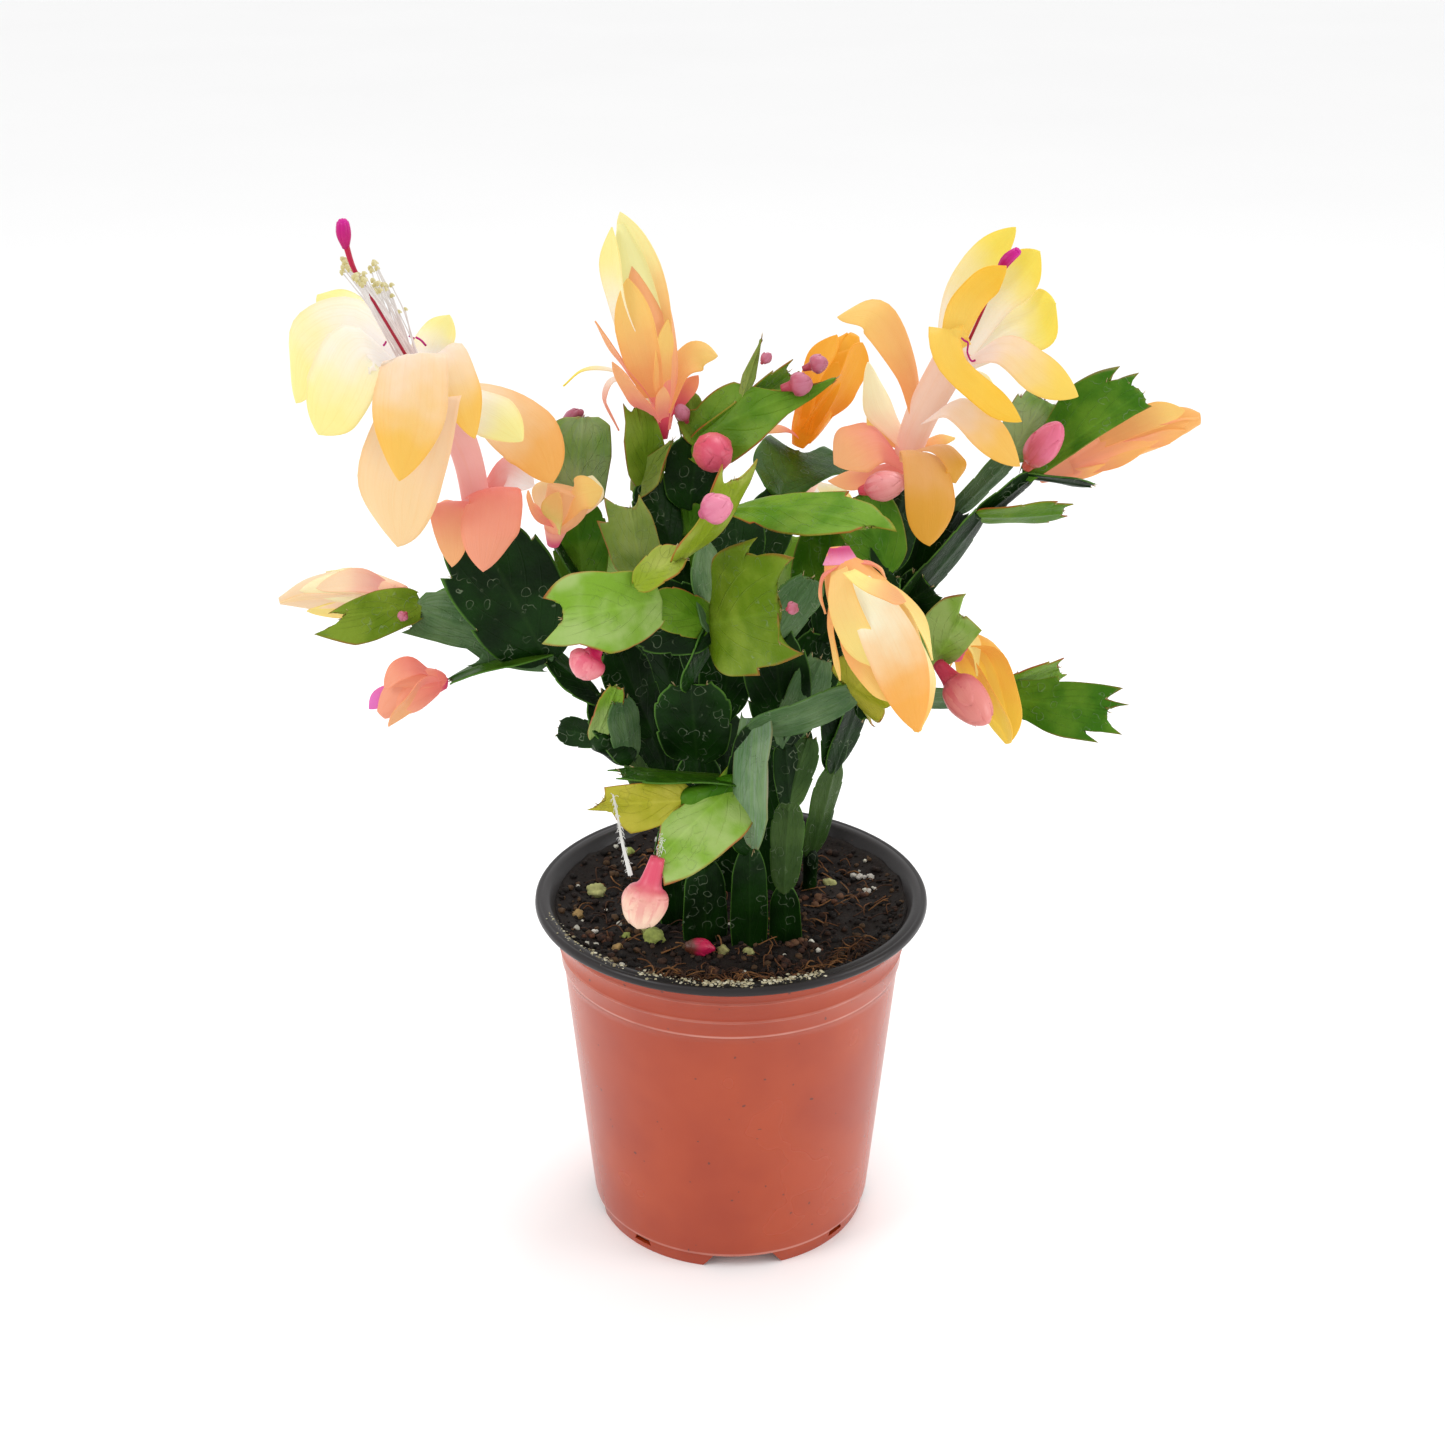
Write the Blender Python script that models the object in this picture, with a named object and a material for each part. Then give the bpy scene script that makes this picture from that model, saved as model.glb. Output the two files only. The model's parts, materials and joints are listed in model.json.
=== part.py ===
"""A Thanksgiving cactus in bloom, in an 11 cm growers' pot.

Flat toothed segments grow end to end into leafy stems, which stand in slots in the soil. Each leafy stem,
bloom, pistil and bud is one closed body. Places in the tables are millimetres on the upright plane through
the pot's axis, seen from EYE, and a third number gives the depth to which that line of sight is followed:
negative is nearer.
"""

import math

import bmesh
import bpy
from mathutils import Matrix, Vector, noise

MM = 0.001
EYE = Vector((-2.4, -548.0, 390.6))

# The pot
POT_HEIGHT = 100.0
RIM_RADIUS = 55.0
RIM_INNER_RADIUS = 51.0
RIM_LIP = 2.6
COLLAR_RADIUS = 48.9
SHOULDER_RADIUS = 47.5
SHOULDER_HEIGHT = 80.4
SHOULDER_STEP = 0.6
SHOULDER_STEP_HEIGHT = 0.8
BASE_RADIUS = 40.3
FOOT_HEIGHT = 4.5
FOOT_INSET = 0.5
FOOT_WIDTH = 1.4
FOOT_FLAT_INSET = 0.8
FOOT_TAPER = 0.8
RIM_BEVEL = 0.5
RIM_BEVEL_WIDTH = 0.8
COLLAR_DROP = 1.0
INNER_COLLAR_DROP = 2.0
WALL = 1.2
POT_SIDES = 24
NOTCH_COUNT = 4
NOTCH_TOP = 16.0
NOTCH_FLOOR = 24.0
NOTCH_TURN = 5.0
NOTCH_ROOF = 0.25
DRAIN_WIDTH = 7.0
DRAIN_TOP_SHARE = 0.7
DRAIN_HEIGHT = 1.5
CUT_OUTSIDE = 4.0
CUT_INSIDE = 7.0

# The soil
SOIL_TOP = 93.5
SOIL_GAP = 0.3
SOIL_SIDES = 18
SOIL_RINGS = 4
SOIL_EDGE = 1.0
SOIL_EDGE_INSET = 0.6
SOIL_LUMP = 1.6
SOIL_LUMP_PACE = 0.16
SOIL_SMALL_LUMP = 0.5
SOIL_SMALL_PACE = 0.4
SLOT_DEPTH = 10.0
SLOT_RISE = 9.0
SLOT_CLEAR = 0.5
GRANULE_RELIEF = 0.25
GRANULE_PACE = 0.7
GRANULE_SQUASH = 0.75
GRANULE_RISE = 0.25

# The segments of the stems
RIB_THICKNESS = 1.7
MARGIN_THICKNESS = 0.8
FLAT_THICKNESS = 1.3
STALK_SIDES = 6
STALK_SINK = 0.3
STALK_RADII = (0.5, 0.4, 0.46)
SINK = 2.2
SEGMENT_WAVE = 0.35
SEGMENT_WAVE_PACE = 2.1
RIBBED_WIDTH = 15.0
RIBBED_FOLD = 0.2

# The petals
PETAL_THICKNESS = 0.8
PETAL_HALF_WIDTHS = (0.24, 0.45, 0.49, 0.06)
PETAL_STOPS = (0.0, 0.3, 0.68, 1.0)
NARROW_PETAL = 9.0
PETAL_CUP = 0.18
MIDDLE_WEIGHT = 0.5
TANGENT_STEP = 0.02
BLOOM_SIDES = 6
FILAMENT_SIDES = 3
ANTHER_SHARE = 0.93

# The buds and the small round pieces
BUD_SIDES = 7
SMALL_BUD_SIDES = 5
SMALL_BUD_RADIUS = 3.5
FALLEN_BUD_SIDES = 6
PISTIL_SIDES = 6
THREAD_SIDES = 5

for old in list(bpy.data.objects):
    bpy.data.objects.remove(old)


def at(x, z, depth):
    """The point at a depth on the line of sight through (x, z) on the plane of the pot's axis."""
    reach = (depth - EYE.y) / -EYE.y
    return EYE + (Vector((x, 0.0, z)) - EYE) * reach


def in_soil(x, y):
    """The lower end of a rooted segment, at the foot of its slot."""
    return Vector((x, y, SOIL_TOP - SLOT_DEPTH))


def material(name, colour, roughness):
    made = bpy.data.materials.new(name)
    made.use_nodes = True
    shader = made.node_tree.nodes["Principled BSDF"]
    shader.inputs["Base Color"].default_value = (*colour, 1.0)
    shader.inputs["Roughness"].default_value = roughness
    shader.inputs["Metallic"].default_value = 0.0
    return made


TERRACOTTA = material("terracotta_plastic", (0.52, 0.10, 0.05), 0.35)
PEAT = material("peat", (0.02, 0.012, 0.008), 0.95)
SEGMENT_GREEN = material("segment_green", (0.06, 0.19, 0.02), 0.45)
PETAL_ORANGE = material("petal_orange", (0.93, 0.45, 0.12), 0.5)
BUD_PINK = material("bud_pink", (0.72, 0.16, 0.2), 0.45)
PISTIL_CRIMSON = material("pistil_crimson", (0.62, 0.01, 0.12), 0.4)
FIBRE_WHITE = material("fibre_white", (0.85, 0.84, 0.8), 0.8)


def finish(bm, name, look):
    """The bmesh, in millimetres, as an object in metres."""
    bmesh.ops.recalc_face_normals(bm, faces=bm.faces[:])
    bmesh.ops.scale(bm, vec=(MM, MM, MM), verts=bm.verts[:])
    mesh = bpy.data.meshes.new(name)
    bm.to_mesh(mesh)
    bm.free()
    mesh.materials.append(look)
    made = bpy.data.objects.new(name, mesh)
    bpy.context.scene.collection.objects.link(made)
    return made


def shells_of(bm):
    """The vertices of each shell of the bmesh."""
    left = set(bm.verts)
    while left:
        shell, ends = set(), [left.pop()]
        while ends:
            vert = ends.pop()
            shell.add(vert)
            near = {edge.other_vert(vert) for edge in vert.link_edges} & left
            left -= near
            ends += near
        yield shell


def keep_largest_shell(mesh):
    """Drops loose scraps, and fills the hollows that the blades seal where they cross."""
    bm = bmesh.new()
    bm.from_mesh(mesh)
    largest = max(shells_of(bm), key=len)
    bmesh.ops.delete(bm, geom=[vert for vert in bm.verts if vert not in largest], context="VERTS")
    bm.to_mesh(mesh)
    bm.free()


def combine(body, others, operation, solver):
    """Joins the other objects to the body, or cuts them from it, in one Boolean, and removes them."""
    tools = bpy.data.collections.new("tools")
    bpy.context.scene.collection.children.link(tools)
    for other in others:
        bpy.context.scene.collection.objects.unlink(other)
        tools.objects.link(other)
    boolean = body.modifiers.new("combine", "BOOLEAN")
    boolean.operation = operation
    boolean.operand_type = "COLLECTION"
    boolean.collection = tools
    boolean.solver = solver
    graph = bpy.context.evaluated_depsgraph_get()
    mesh = bpy.data.meshes.new_from_object(body.evaluated_get(graph))
    body.modifiers.clear()
    body.data = mesh
    keep_largest_shell(mesh)
    for other in others:
        bpy.data.objects.remove(other)
    bpy.data.collections.remove(tools)
    return body


def fuse(pieces, name, solver="MANIFOLD"):
    body = pieces[0]
    if len(pieces) > 1:
        combine(body, pieces[1:], "UNION", solver)
    body.name = name
    return body


def plate(rows, strips, place, thickness, name, look):
    """A blade one or two strips wide, placed by place(row, side) and given its thickness half to each face."""
    bm = bmesh.new()
    bmesh.ops.create_grid(bm, x_segments=strips, y_segments=rows - 1, size=1.0)
    row_of = bm.verts.layers.int.new("row")
    side_of = bm.verts.layers.int.new("side")
    for vert in bm.verts:
        vert[row_of] = round((vert.co.y + 1.0) / 2.0 * (rows - 1))
        vert[side_of] = round(vert.co.x)
    for vert in bm.verts:
        vert.co = place(vert[row_of], vert[side_of])
    bmesh.ops.triangulate(bm, faces=bm.faces[:], quad_method="SHORT_EDGE")
    bm.normal_update()
    half = {(v[row_of], v[side_of]): v.normal * thickness(v[side_of]) / 2 for v in bm.verts}
    front = bm.verts[:]
    grown = bmesh.ops.extrude_face_region(bm, geom=bm.faces[:], use_keep_orig=True)
    back = [item for item in grown["geom"] if isinstance(item, bmesh.types.BMVert)]
    for vert in front:
        vert.co += half[vert[row_of], vert[side_of]]
    for vert in back:
        vert.co -= half[vert[row_of], vert[side_of]]
    return finish(bm, name, look)


# Half outlines of a segment: how far along the rib, how far along the margin, how far out. The margin runs
# ahead of the rib at each tooth and at the horn beside the tip. A broad toothed segment has a rib, and the
# others are flat.
TOOTHED = (
    (0.00, 0.00, 0.10), (0.14, 0.16, 0.36), (0.43, 0.47, 0.52), (0.51, 0.50, 0.42), (0.76, 0.81, 0.53),
    (0.82, 0.83, 0.40), (0.85, 1.05, 0.43), (0.99, 0.985, 0.20),
)
NARROW = (
    (0.00, 0.00, 0.10), (0.16, 0.16, 0.36), (0.47, 0.47, 0.52), (0.50, 0.50, 0.42), (0.81, 0.81, 0.53),
    (0.84, 0.84, 0.40), (1.00, 1.00, 0.44),
)
PLAIN = ((0.00, 0.00, 0.12), (0.24, 0.24, 0.43), (0.76, 0.76, 0.49), (1.00, 1.00, 0.22))
ROOTED = ((0.00, 0.00, 0.36), (0.45, 0.45, 0.50), (0.80, 0.80, 0.44), (1.00, 1.00, 0.22))
OUTLINES = {"toothed": TOOTHED, "narrow": NARROW, "plain": PLAIN, "rooted": ROOTED}


def segment_axes(base, tip, roll):
    """Along, across and facing: unrolled, the face turns to EYE as far as the segment's direction lets it."""
    along = (tip - base).normalized()
    view = EYE - base
    facing = (view - view.dot(along) * along).normalized()
    facing = Matrix.Rotation(math.radians(roll), 3, along) @ facing
    return along, along.cross(facing), facing


def stalk(base, tip, width):
    """A round green stem from joint to joint."""
    along = (tip - base).normalized()
    reach = along * SINK * STALK_SINK
    foot = base if base.z < SOIL_TOP else base - reach
    places = (foot, base.lerp(tip, 0.5), tip + reach)
    stations = [(place, width * share) for place, share in zip(places, STALK_RADII)]
    return spindle(stations, STALK_SIDES, "stalk", SEGMENT_GREEN)


def blade(run):
    """A run of flat segments as one blade, narrow at each joint.

    The bow lifts a segment's middle, and the fold its margins, each as a share of its size.
    """
    _, _, width, _, outline, _, fold = run[0]
    ribbed = fold > RIBBED_FOLD or (outline == "toothed" and width > RIBBED_WIDTH)
    places = []
    for index, (start, end, width, roll, outline, bow, fold) in enumerate(run):
        base, tip = joint(start), joint(end)
        along, across, facing = segment_axes(base, tip, roll)
        if not index and outline != "rooted":
            base = base - along * SINK
        length = (tip - base).length
        narrow = width / math.hypot(1.0, fold)
        wave = 0.0 if outline == "rooted" else SEGMENT_WAVE
        if outline == "toothed" and not ribbed:
            outline = "narrow"
        for rib, margin, out in OUTLINES[outline][1 if index else 0:]:
            row = {}
            for side in (-1, 0, 1):
                share = margin if side else rib
                lift = bow * 4.0 * share * (1.0 - share) * length
                if side:
                    lift += fold * out * narrow + wave * math.sin(len(places) * SEGMENT_WAVE_PACE + side)
                row[side] = base + along * share * length + across * side * out * narrow + facing * lift
            places.append(row)

    def thickness(side):
        if not ribbed:
            return FLAT_THICKNESS
        return MARGIN_THICKNESS if side else RIB_THICKNESS

    strips = 2 if ribbed else 1
    return plate(len(places), strips, lambda row, side: places[row][side], thickness, "blade", SEGMENT_GREEN)


def curve_point(points, share):
    """A point on the smooth curve through the points."""
    spans = len(points) - 1
    index = min(int(share * spans), spans - 1)
    t = share * spans - index
    p1, p2 = points[index], points[index + 1]
    p0 = points[index - 1] if index else p1 * 2 - p2
    p3 = points[index + 2] if index + 2 <= spans else p2 * 2 - p1
    a, b = p2 - p0, p0 * 2 - p1 * 5 + p2 * 4 - p3
    c = p1 * 3 - p0 - p2 * 3 + p3
    return p1 + (a * t + b * t * t + c * t * t * t) * 0.5


def petal(places, width, axis):
    """One petal along the curve through its places, its width across the plane of the axis and the curve."""
    points = [at(*place) for place in places]
    strips = 1 if width <= NARROW_PETAL else 2
    out = points[-1] - points[0] - (points[-1] - points[0]).project(axis)
    middle = points[1] - points[0] - (points[1] - points[0]).project(axis)
    level = axis.cross(out.normalized() + middle.normalized() * MIDDLE_WEIGHT).normalized()

    def place(row, side):
        share = PETAL_STOPS[row]
        here = curve_point(points, share)
        ahead = curve_point(points, min(share + TANGENT_STEP, 1.0))
        behind = curve_point(points, max(share - TANGENT_STEP, 0.0))
        along = (ahead - behind).normalized()
        wide = (level - level.dot(along) * along).normalized()
        inward = wide.cross(along)
        half = PETAL_HALF_WIDTHS[row] * width
        return here + wide * side * half + inward * abs(side) * PETAL_CUP * half

    return plate(len(PETAL_STOPS), strips, place, lambda side: PETAL_THICKNESS, "petal", PETAL_ORANGE)


def spindle(stations, sides, name="spindle", look=None):
    """A closed body round the stations, each a centre and a radius."""
    bm = bmesh.new()
    centres = [Vector(centre) for centre, _ in stations]
    ring = bmesh.ops.create_circle(bm, segments=sides, radius=1.0)["verts"]
    edges = bm.edges[:]
    first = edges
    turn = Vector((0, 0, 1)).rotation_difference(centres[1] - centres[0])
    place = Matrix.Identity(4)
    for index, (_, radius) in enumerate(stations):
        nearer, farther = centres[max(index - 1, 0)], centres[min(index + 1, len(centres) - 1)]
        heading = turn @ Vector((0, 0, 1))
        turn = heading.rotation_difference(farther - nearer) @ turn
        target = Matrix.Translation(centres[index]) @ turn.to_matrix().to_4x4() @ Matrix.Scale(radius, 4)
        if index:
            grown = bmesh.ops.extrude_edge_only(bm, edges=edges)["geom"]
            ring = [item for item in grown if isinstance(item, bmesh.types.BMVert)]
            edges = [item for item in grown if isinstance(item, bmesh.types.BMEdge)]
        bmesh.ops.transform(bm, matrix=target @ place.inverted(), verts=ring)
        place = target
    bmesh.ops.edgeloop_fill(bm, edges=first)
    bmesh.ops.edgeloop_fill(bm, edges=edges)
    return finish(bm, name, look or PETAL_ORANGE)


def placed(stations):
    return [(at(x, z, depth), radius) for x, z, depth, radius in stations]


# Where segments meet, stem by stem
ROOTS = {
    "front_left_root": (-7.0, -19.0), "front_middle_root": (5.0, -20.0), "front_right_root": (15.3, -17.5),
    "right_root": (22.4, 13.7), "left_root": (-15.0, -6.0), "upper_left_root": (-11.0, 8.0),
    "top_root": (0.5, 10.0), "upper_right_root": (11.5, 8.0), "back_left_root": (-8.0, 24.0),
    "back_right_root": (9.0, 27.0),
}
JOINTS = {
    "a1": (-7.5, 109, -17.5), "a2": (-9.5, 141, -16.5), "a3": (-11, 163, -22), "a4": (-5.5, 180, -27),
    "a5": (-21, 186, -39), "a6": (-47, 181, -50), "a7": (-13, 199.5, -41), "a8": (1, 221, -45),
    "a9": (14, 184, -52), "a10": (-7.5, 202, -24),
    "b1": (5, 113, -20), "b2": (2, 133, -23), "b3": (7, 150, -22), "b4": (-19.5, 110.5, -46),
    "b5": (-14, 127.5, -33), "b6": (-35, 126.5, -44), "b7": (-31, 135.5, -33), "b8": (6.3, 114, -36),
    "b9": (33, 160.5, -28), "b10": (35.5, 163, -48),
    "c1": (15, 101, -18), "c2": (16, 127, -15.5), "c3": (14.5, 146, -14), "c4": (20.8, 147, -12),
    "c5": (11, 176, -12), "c6": (21, 193, -12), "c7": (24, 170, -10),
    "d1": (22.3, 112, 12), "d2": (28, 138, 10), "d3": (35, 160, 8), "d4": (44, 184, 9), "d5": (65, 210.5, 11),
    "d6": (77.5, 221, 12), "d7": (104, 242, 14), "d8": (53, 190.5, 5), "d9": (87, 211.5, 12),
    "d10": (93.5, 218.5, 13), "d11": (28.5, 159, 4), "d12": (70, 159, 4), "d13": (102, 154.5, -6),
    "d14": (88.5, 167.5, 6), "d15": (55, 169.5, -14), "d16": (62.5, 184, -22), "d17": (59, 212, 18),
    "d18": (72.5, 227, 20), "d19": (80, 241.5, 22), "d20": (37, 152.5, 2),
    "e1": (-18, 120, -6), "e2": (-28, 141, -4), "e3": (-37, 159, -4), "e4": (-50, 170.5, -8),
    "e5": (-66, 205, -12), "e6": (-84.5, 184.5, -8), "e7": (-106, 181, -12), "e8": (-76, 163.5, -16),
    "e9": (-30, 158, -12), "e10": (-37, 147, -6), "e11": (-31, 162, -14), "e12": (-47, 149.5, 0),
    "f1": (-13, 122, 8), "f2": (-22, 149, 6), "f3": (-31, 173, 3), "f4": (-39, 191, 2), "f5": (-40.5, 214, 6),
    "f6": (-38, 237, 10), "f7": (-46.5, 202.5, -3), "f8": (-24, 196, -14), "f9": (-26.5, 212.5, -19),
    "f10": (-58, 237, 10),
    "g1": (0, 123, 10), "g2": (-3, 153, 8), "g3": (-8, 181, 5), "g4": (-16.5, 203, 1), "g5": (-22, 220.5, 1),
    "g6": (-18, 230, 4), "g7": (2, 187, -4), "g8": (0.5, 211, -14), "g9": (35, 207, -46), "g10": (-11, 214, 4),
    "g11": (-9, 231, 6), "g12": (19.5, 244, 2), "g13": (-12, 243, 12), "g14": (12.5, 216, 4),
    "g15": (17, 227.5, 29), "g16": (15, 249, 10), "g17": (3, 243, 5), "g18": (7.5, 257, 5),
    "h1": (12.5, 123, 9), "h2": (17.5, 151, 8), "h3": (25, 177, 6), "h4": (41, 196, 3), "h5": (44.5, 219.5, 7),
    "h6": (33, 216.3, 0),
    "i1": (-9, 128, 26), "i2": (-14, 156, 30), "i3": (-22, 184, 34), "i4": (-30, 210, 38), "i5": (-34, 176, 42),
    "i6": (-8, 190, 44), "i7": (-4, 212, 50),
    "k1": (10, 128, 29), "k2": (15, 158, 32), "k3": (22, 186, 34), "k4": (30, 210, 36), "k5": (6, 182, 46),
    "k6": (38, 180, 44), "k7": (14, 206, 52),
}

# Each leafy stem: from, to, width, roll, outline, bow, fold
STEMS = {
    "stem_front_left": (
        ("front_left_root", "a1", 12.5, 10, "rooted", 0, 0), ("a1", "a2", 14, 10, "plain", 0, 0),
        ("a2", "a3", 20, 0, "plain", 0.02, 0.1), ("a3", "a4", 15, 72, "plain", 0, 0),
        ("a4", "a5", 17, 0, "plain", 0.03, 0), ("a5", "a6", 19, 0, "toothed", 0.05, 0.1),
        ("a5", "a7", 13, -30, "plain", 0, 0.4), ("a7", "a8", 16, 66, "toothed", 0.06, 0),
        ("a4", "a9", 27, 0, "toothed", 0.05, 0.08), ("a4", "a10", 13, 58, "plain", 0, 0),
    ),
    "stem_front_middle": (
        ("front_middle_root", "b1", 10.5, 10, "rooted", 0, 0), ("b1", "b2", 11, 20, "plain", 0, 0),
        ("b2", "b3", 9, 15, "plain", 0, 0), ("b2", "b4", 18, 10, "toothed", 0.06, 0.1),
        ("b2", "b5", 7, 0, "stalk", 0, 0), ("b5", "b6", 12.5, 0, "toothed", 0.05, 0),
        ("b2", "b7", 13, 76, "toothed", 0.02, 0), ("b3", "b8", 15, 46, "toothed", 0.03, 0.1),
        ("b3", "b9", 14, 55, "plain", 0.04, 0.1), ("b9", "b10", 20, 0, "toothed", 0.03, 0),
    ),
    "stem_front_right": (
        ("front_right_root", "c1", 9, 0, "rooted", 0, 0), ("c1", "c2", 9, 0, "plain", 0, 0),
        ("c2", "c3", 7.5, 0, "stalk", 0, 0), ("c2", "c4", 9, 10, "plain", 0, 0),
        ("c3", "c5", 17, 10, "toothed", 0.02, 0.1), ("c5", "c6", 14, 40, "plain", 0.02, 0),
        ("c3", "c7", 12, 30, "plain", 0.03, 0),
    ),
    "stem_right": (
        ("right_root", "d1", 5, 0, "stalk", 0, 0), ("d1", "d2", 11, 50, "plain", 0, 0),
        ("d2", "d3", 11, 55, "plain", 0, 0.1), ("d3", "d4", 17, 20, "plain", 0.02, 0),
        ("d4", "d5", 14, 65, "plain", 0.02, 0), ("d5", "d6", 9, 60, "plain", 0, 0),
        ("d6", "d7", 21, -20, "toothed", 0.04, 0.1), ("d4", "d8", 13, 0, "toothed", 0, 0),
        ("d5", "d9", 9, 78, "toothed", 0.02, 0), ("d6", "d10", 7, 75, "plain", 0, 0),
        ("d2", "d11", 9, 30, "plain", 0, 0), ("d3", "d20", 6, 20, "plain", 0, 0),
        ("d3", "d12", 11, 62, "plain", 0.03, 0), ("d12", "d13", 16.5, 0, "toothed", 0.03, 0.1),
        ("d12", "d14", 8, 70, "toothed", 0, 0), ("d4", "d15", 12, 40, "plain", 0, 0),
        ("d15", "d16", 13, 0, "toothed", 0.04, 0), ("d4", "d17", 14, 30, "plain", 0, 0),
        ("d17", "d18", 9, 50, "plain", 0, 0), ("d18", "d19", 13, 0, "toothed", 0.03, 0),
    ),
    "stem_left": (
        ("left_root", "e1", 10, 30, "rooted", 0, 0), ("e1", "e2", 9, 45, "plain", 0, 0),
        ("e2", "e3", 12, 35, "plain", 0, 0), ("e3", "e4", 13, 60, "plain", 0, 0),
        ("e4", "e5", 27, 0, "toothed", 0.05, 0.1), ("e4", "e6", 17, -15, "toothed", 0.02, 0.1),
        ("e6", "e7", 12, 15, "toothed", 0.04, 0.1), ("e4", "e8", 12, 76, "plain", 0.05, 0),
        ("e2", "e9", 9, 20, "plain", 0, 0), ("e2", "e10", 8, 20, "stalk", 0, 0),
        ("e10", "e11", 7, 20, "plain", 0, 0.3), ("e10", "e12", 8, 0, "plain", 0, 0),
    ),
    "stem_upper_left": (
        ("upper_left_root", "f1", 11, 15, "rooted", 0, 0), ("f1", "f2", 13, -10, "plain", 0, 0),
        ("f2", "f3", 14, 15, "plain", 0, 0), ("f3", "f4", 15, 0, "plain", 0, 0),
        ("f4", "f5", 15, -10, "plain", 0.02, 0), ("f5", "f6", 15.5, 0, "toothed", 0.03, 0),
        ("f4", "f7", 9, 78, "plain", 0, 0), ("f3", "f8", 13, 20, "plain", 0, 0),
        ("f8", "f9", 16, 0, "toothed", 0.04, 0.15), ("f5", "f10", 10, 65, "toothed", 0, 0),
    ),
    "stem_top": (
        ("top_root", "g1", 12, 0, "rooted", 0, 0), ("g1", "g2", 15, 15, "plain", 0, 0),
        ("g2", "g3", 16, -15, "plain", 0, 0), ("g3", "g4", 15, 35, "plain", 0, 0),
        ("g4", "g5", 12, 60, "plain", 0, 0), ("g5", "g6", 13, 20, "toothed", 0, 0.8),
        ("g3", "g10", 14, -25, "plain", 0, 0), ("g10", "g11", 10, 30, "plain", 0, 0),
        ("g11", "g12", 20, -15, "toothed", 0.05, 0.1), ("g11", "g13", 9, 30, "plain", 0, 0),
        ("g2", "g7", 16, 10, "plain", 0, 0), ("g7", "g8", 16, 20, "plain", 0, 0),
        ("g8", "g9", 19, -48, "toothed", 0.05, 0.1), ("g7", "g14", 14, 10, "plain", 0, 0),
        ("g14", "g15", 25, 0, "toothed", 0.04, 0.1), ("g11", "g16", 14, 20, "toothed", 0.02, 0),
        ("g17", "g18", 5, 0, "plain", 0, 0),
    ),
    "stem_upper_right": (
        ("upper_right_root", "h1", 11, -10, "rooted", 0, 0), ("h1", "h2", 13, 15, "plain", 0, 0),
        ("h2", "h3", 15, 0, "plain", 0, 0), ("h3", "h4", 18, -10, "plain", 0, 0),
        ("h4", "h5", 14, 30, "plain", 0, 0), ("h4", "h6", 16, 0, "toothed", 0, 0),
    ),
    "stem_back_left": (
        ("back_left_root", "i1", 12, 0, "rooted", 0, 0), ("i1", "i2", 15, 10, "plain", 0, 0),
        ("i2", "i3", 18, -20, "plain", 0.02, 0), ("i3", "i4", 20, 180, "toothed", 0.04, 0.1),
        ("i2", "i5", 18, 200, "toothed", 0.04, 0.1), ("i2", "i6", 18, 175, "toothed", 0.03, 0.1),
        ("i6", "i7", 17, 190, "toothed", 0.04, 0.1),
    ),
    "stem_back_right": (
        ("back_right_root", "k1", 12, 0, "rooted", 0, 0), ("k1", "k2", 15, -10, "plain", 0, 0),
        ("k2", "k3", 18, -10, "plain", 0.02, 0), ("k3", "k4", 20, 190, "toothed", 0.04, 0.1),
        ("k2", "k5", 18, 185, "toothed", 0.04, 0.1), ("k2", "k6", 18, 170, "toothed", 0.03, 0.1),
        ("k5", "k7", 17, 180, "toothed", 0.04, 0.1),
    ),
}


def joint(name):
    return in_soil(*ROOTS[name]) if name in ROOTS else at(*JOINTS[name])


def goes_on(last, row):
    """Whether two rows are flat segments that go on from one another, and so are one blade."""
    flat = all(each[4] in ("rooted", "plain") and each[6] <= RIBBED_FOLD for each in (last, row))
    return flat and last[1] == row[0]


def build_stem(name, rows):
    runs = [[rows[0]]]
    for row in rows[1:]:
        if goes_on(runs[-1][-1], row):
            runs[-1].append(row)
        else:
            runs.append([row])
    pieces = []
    for run in runs:
        start, end, width, _, outline, _, _ = run[0]
        pieces.append(stalk(joint(start), joint(end), width) if outline == "stalk" else blade(run))
    return fuse(pieces, name)


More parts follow.
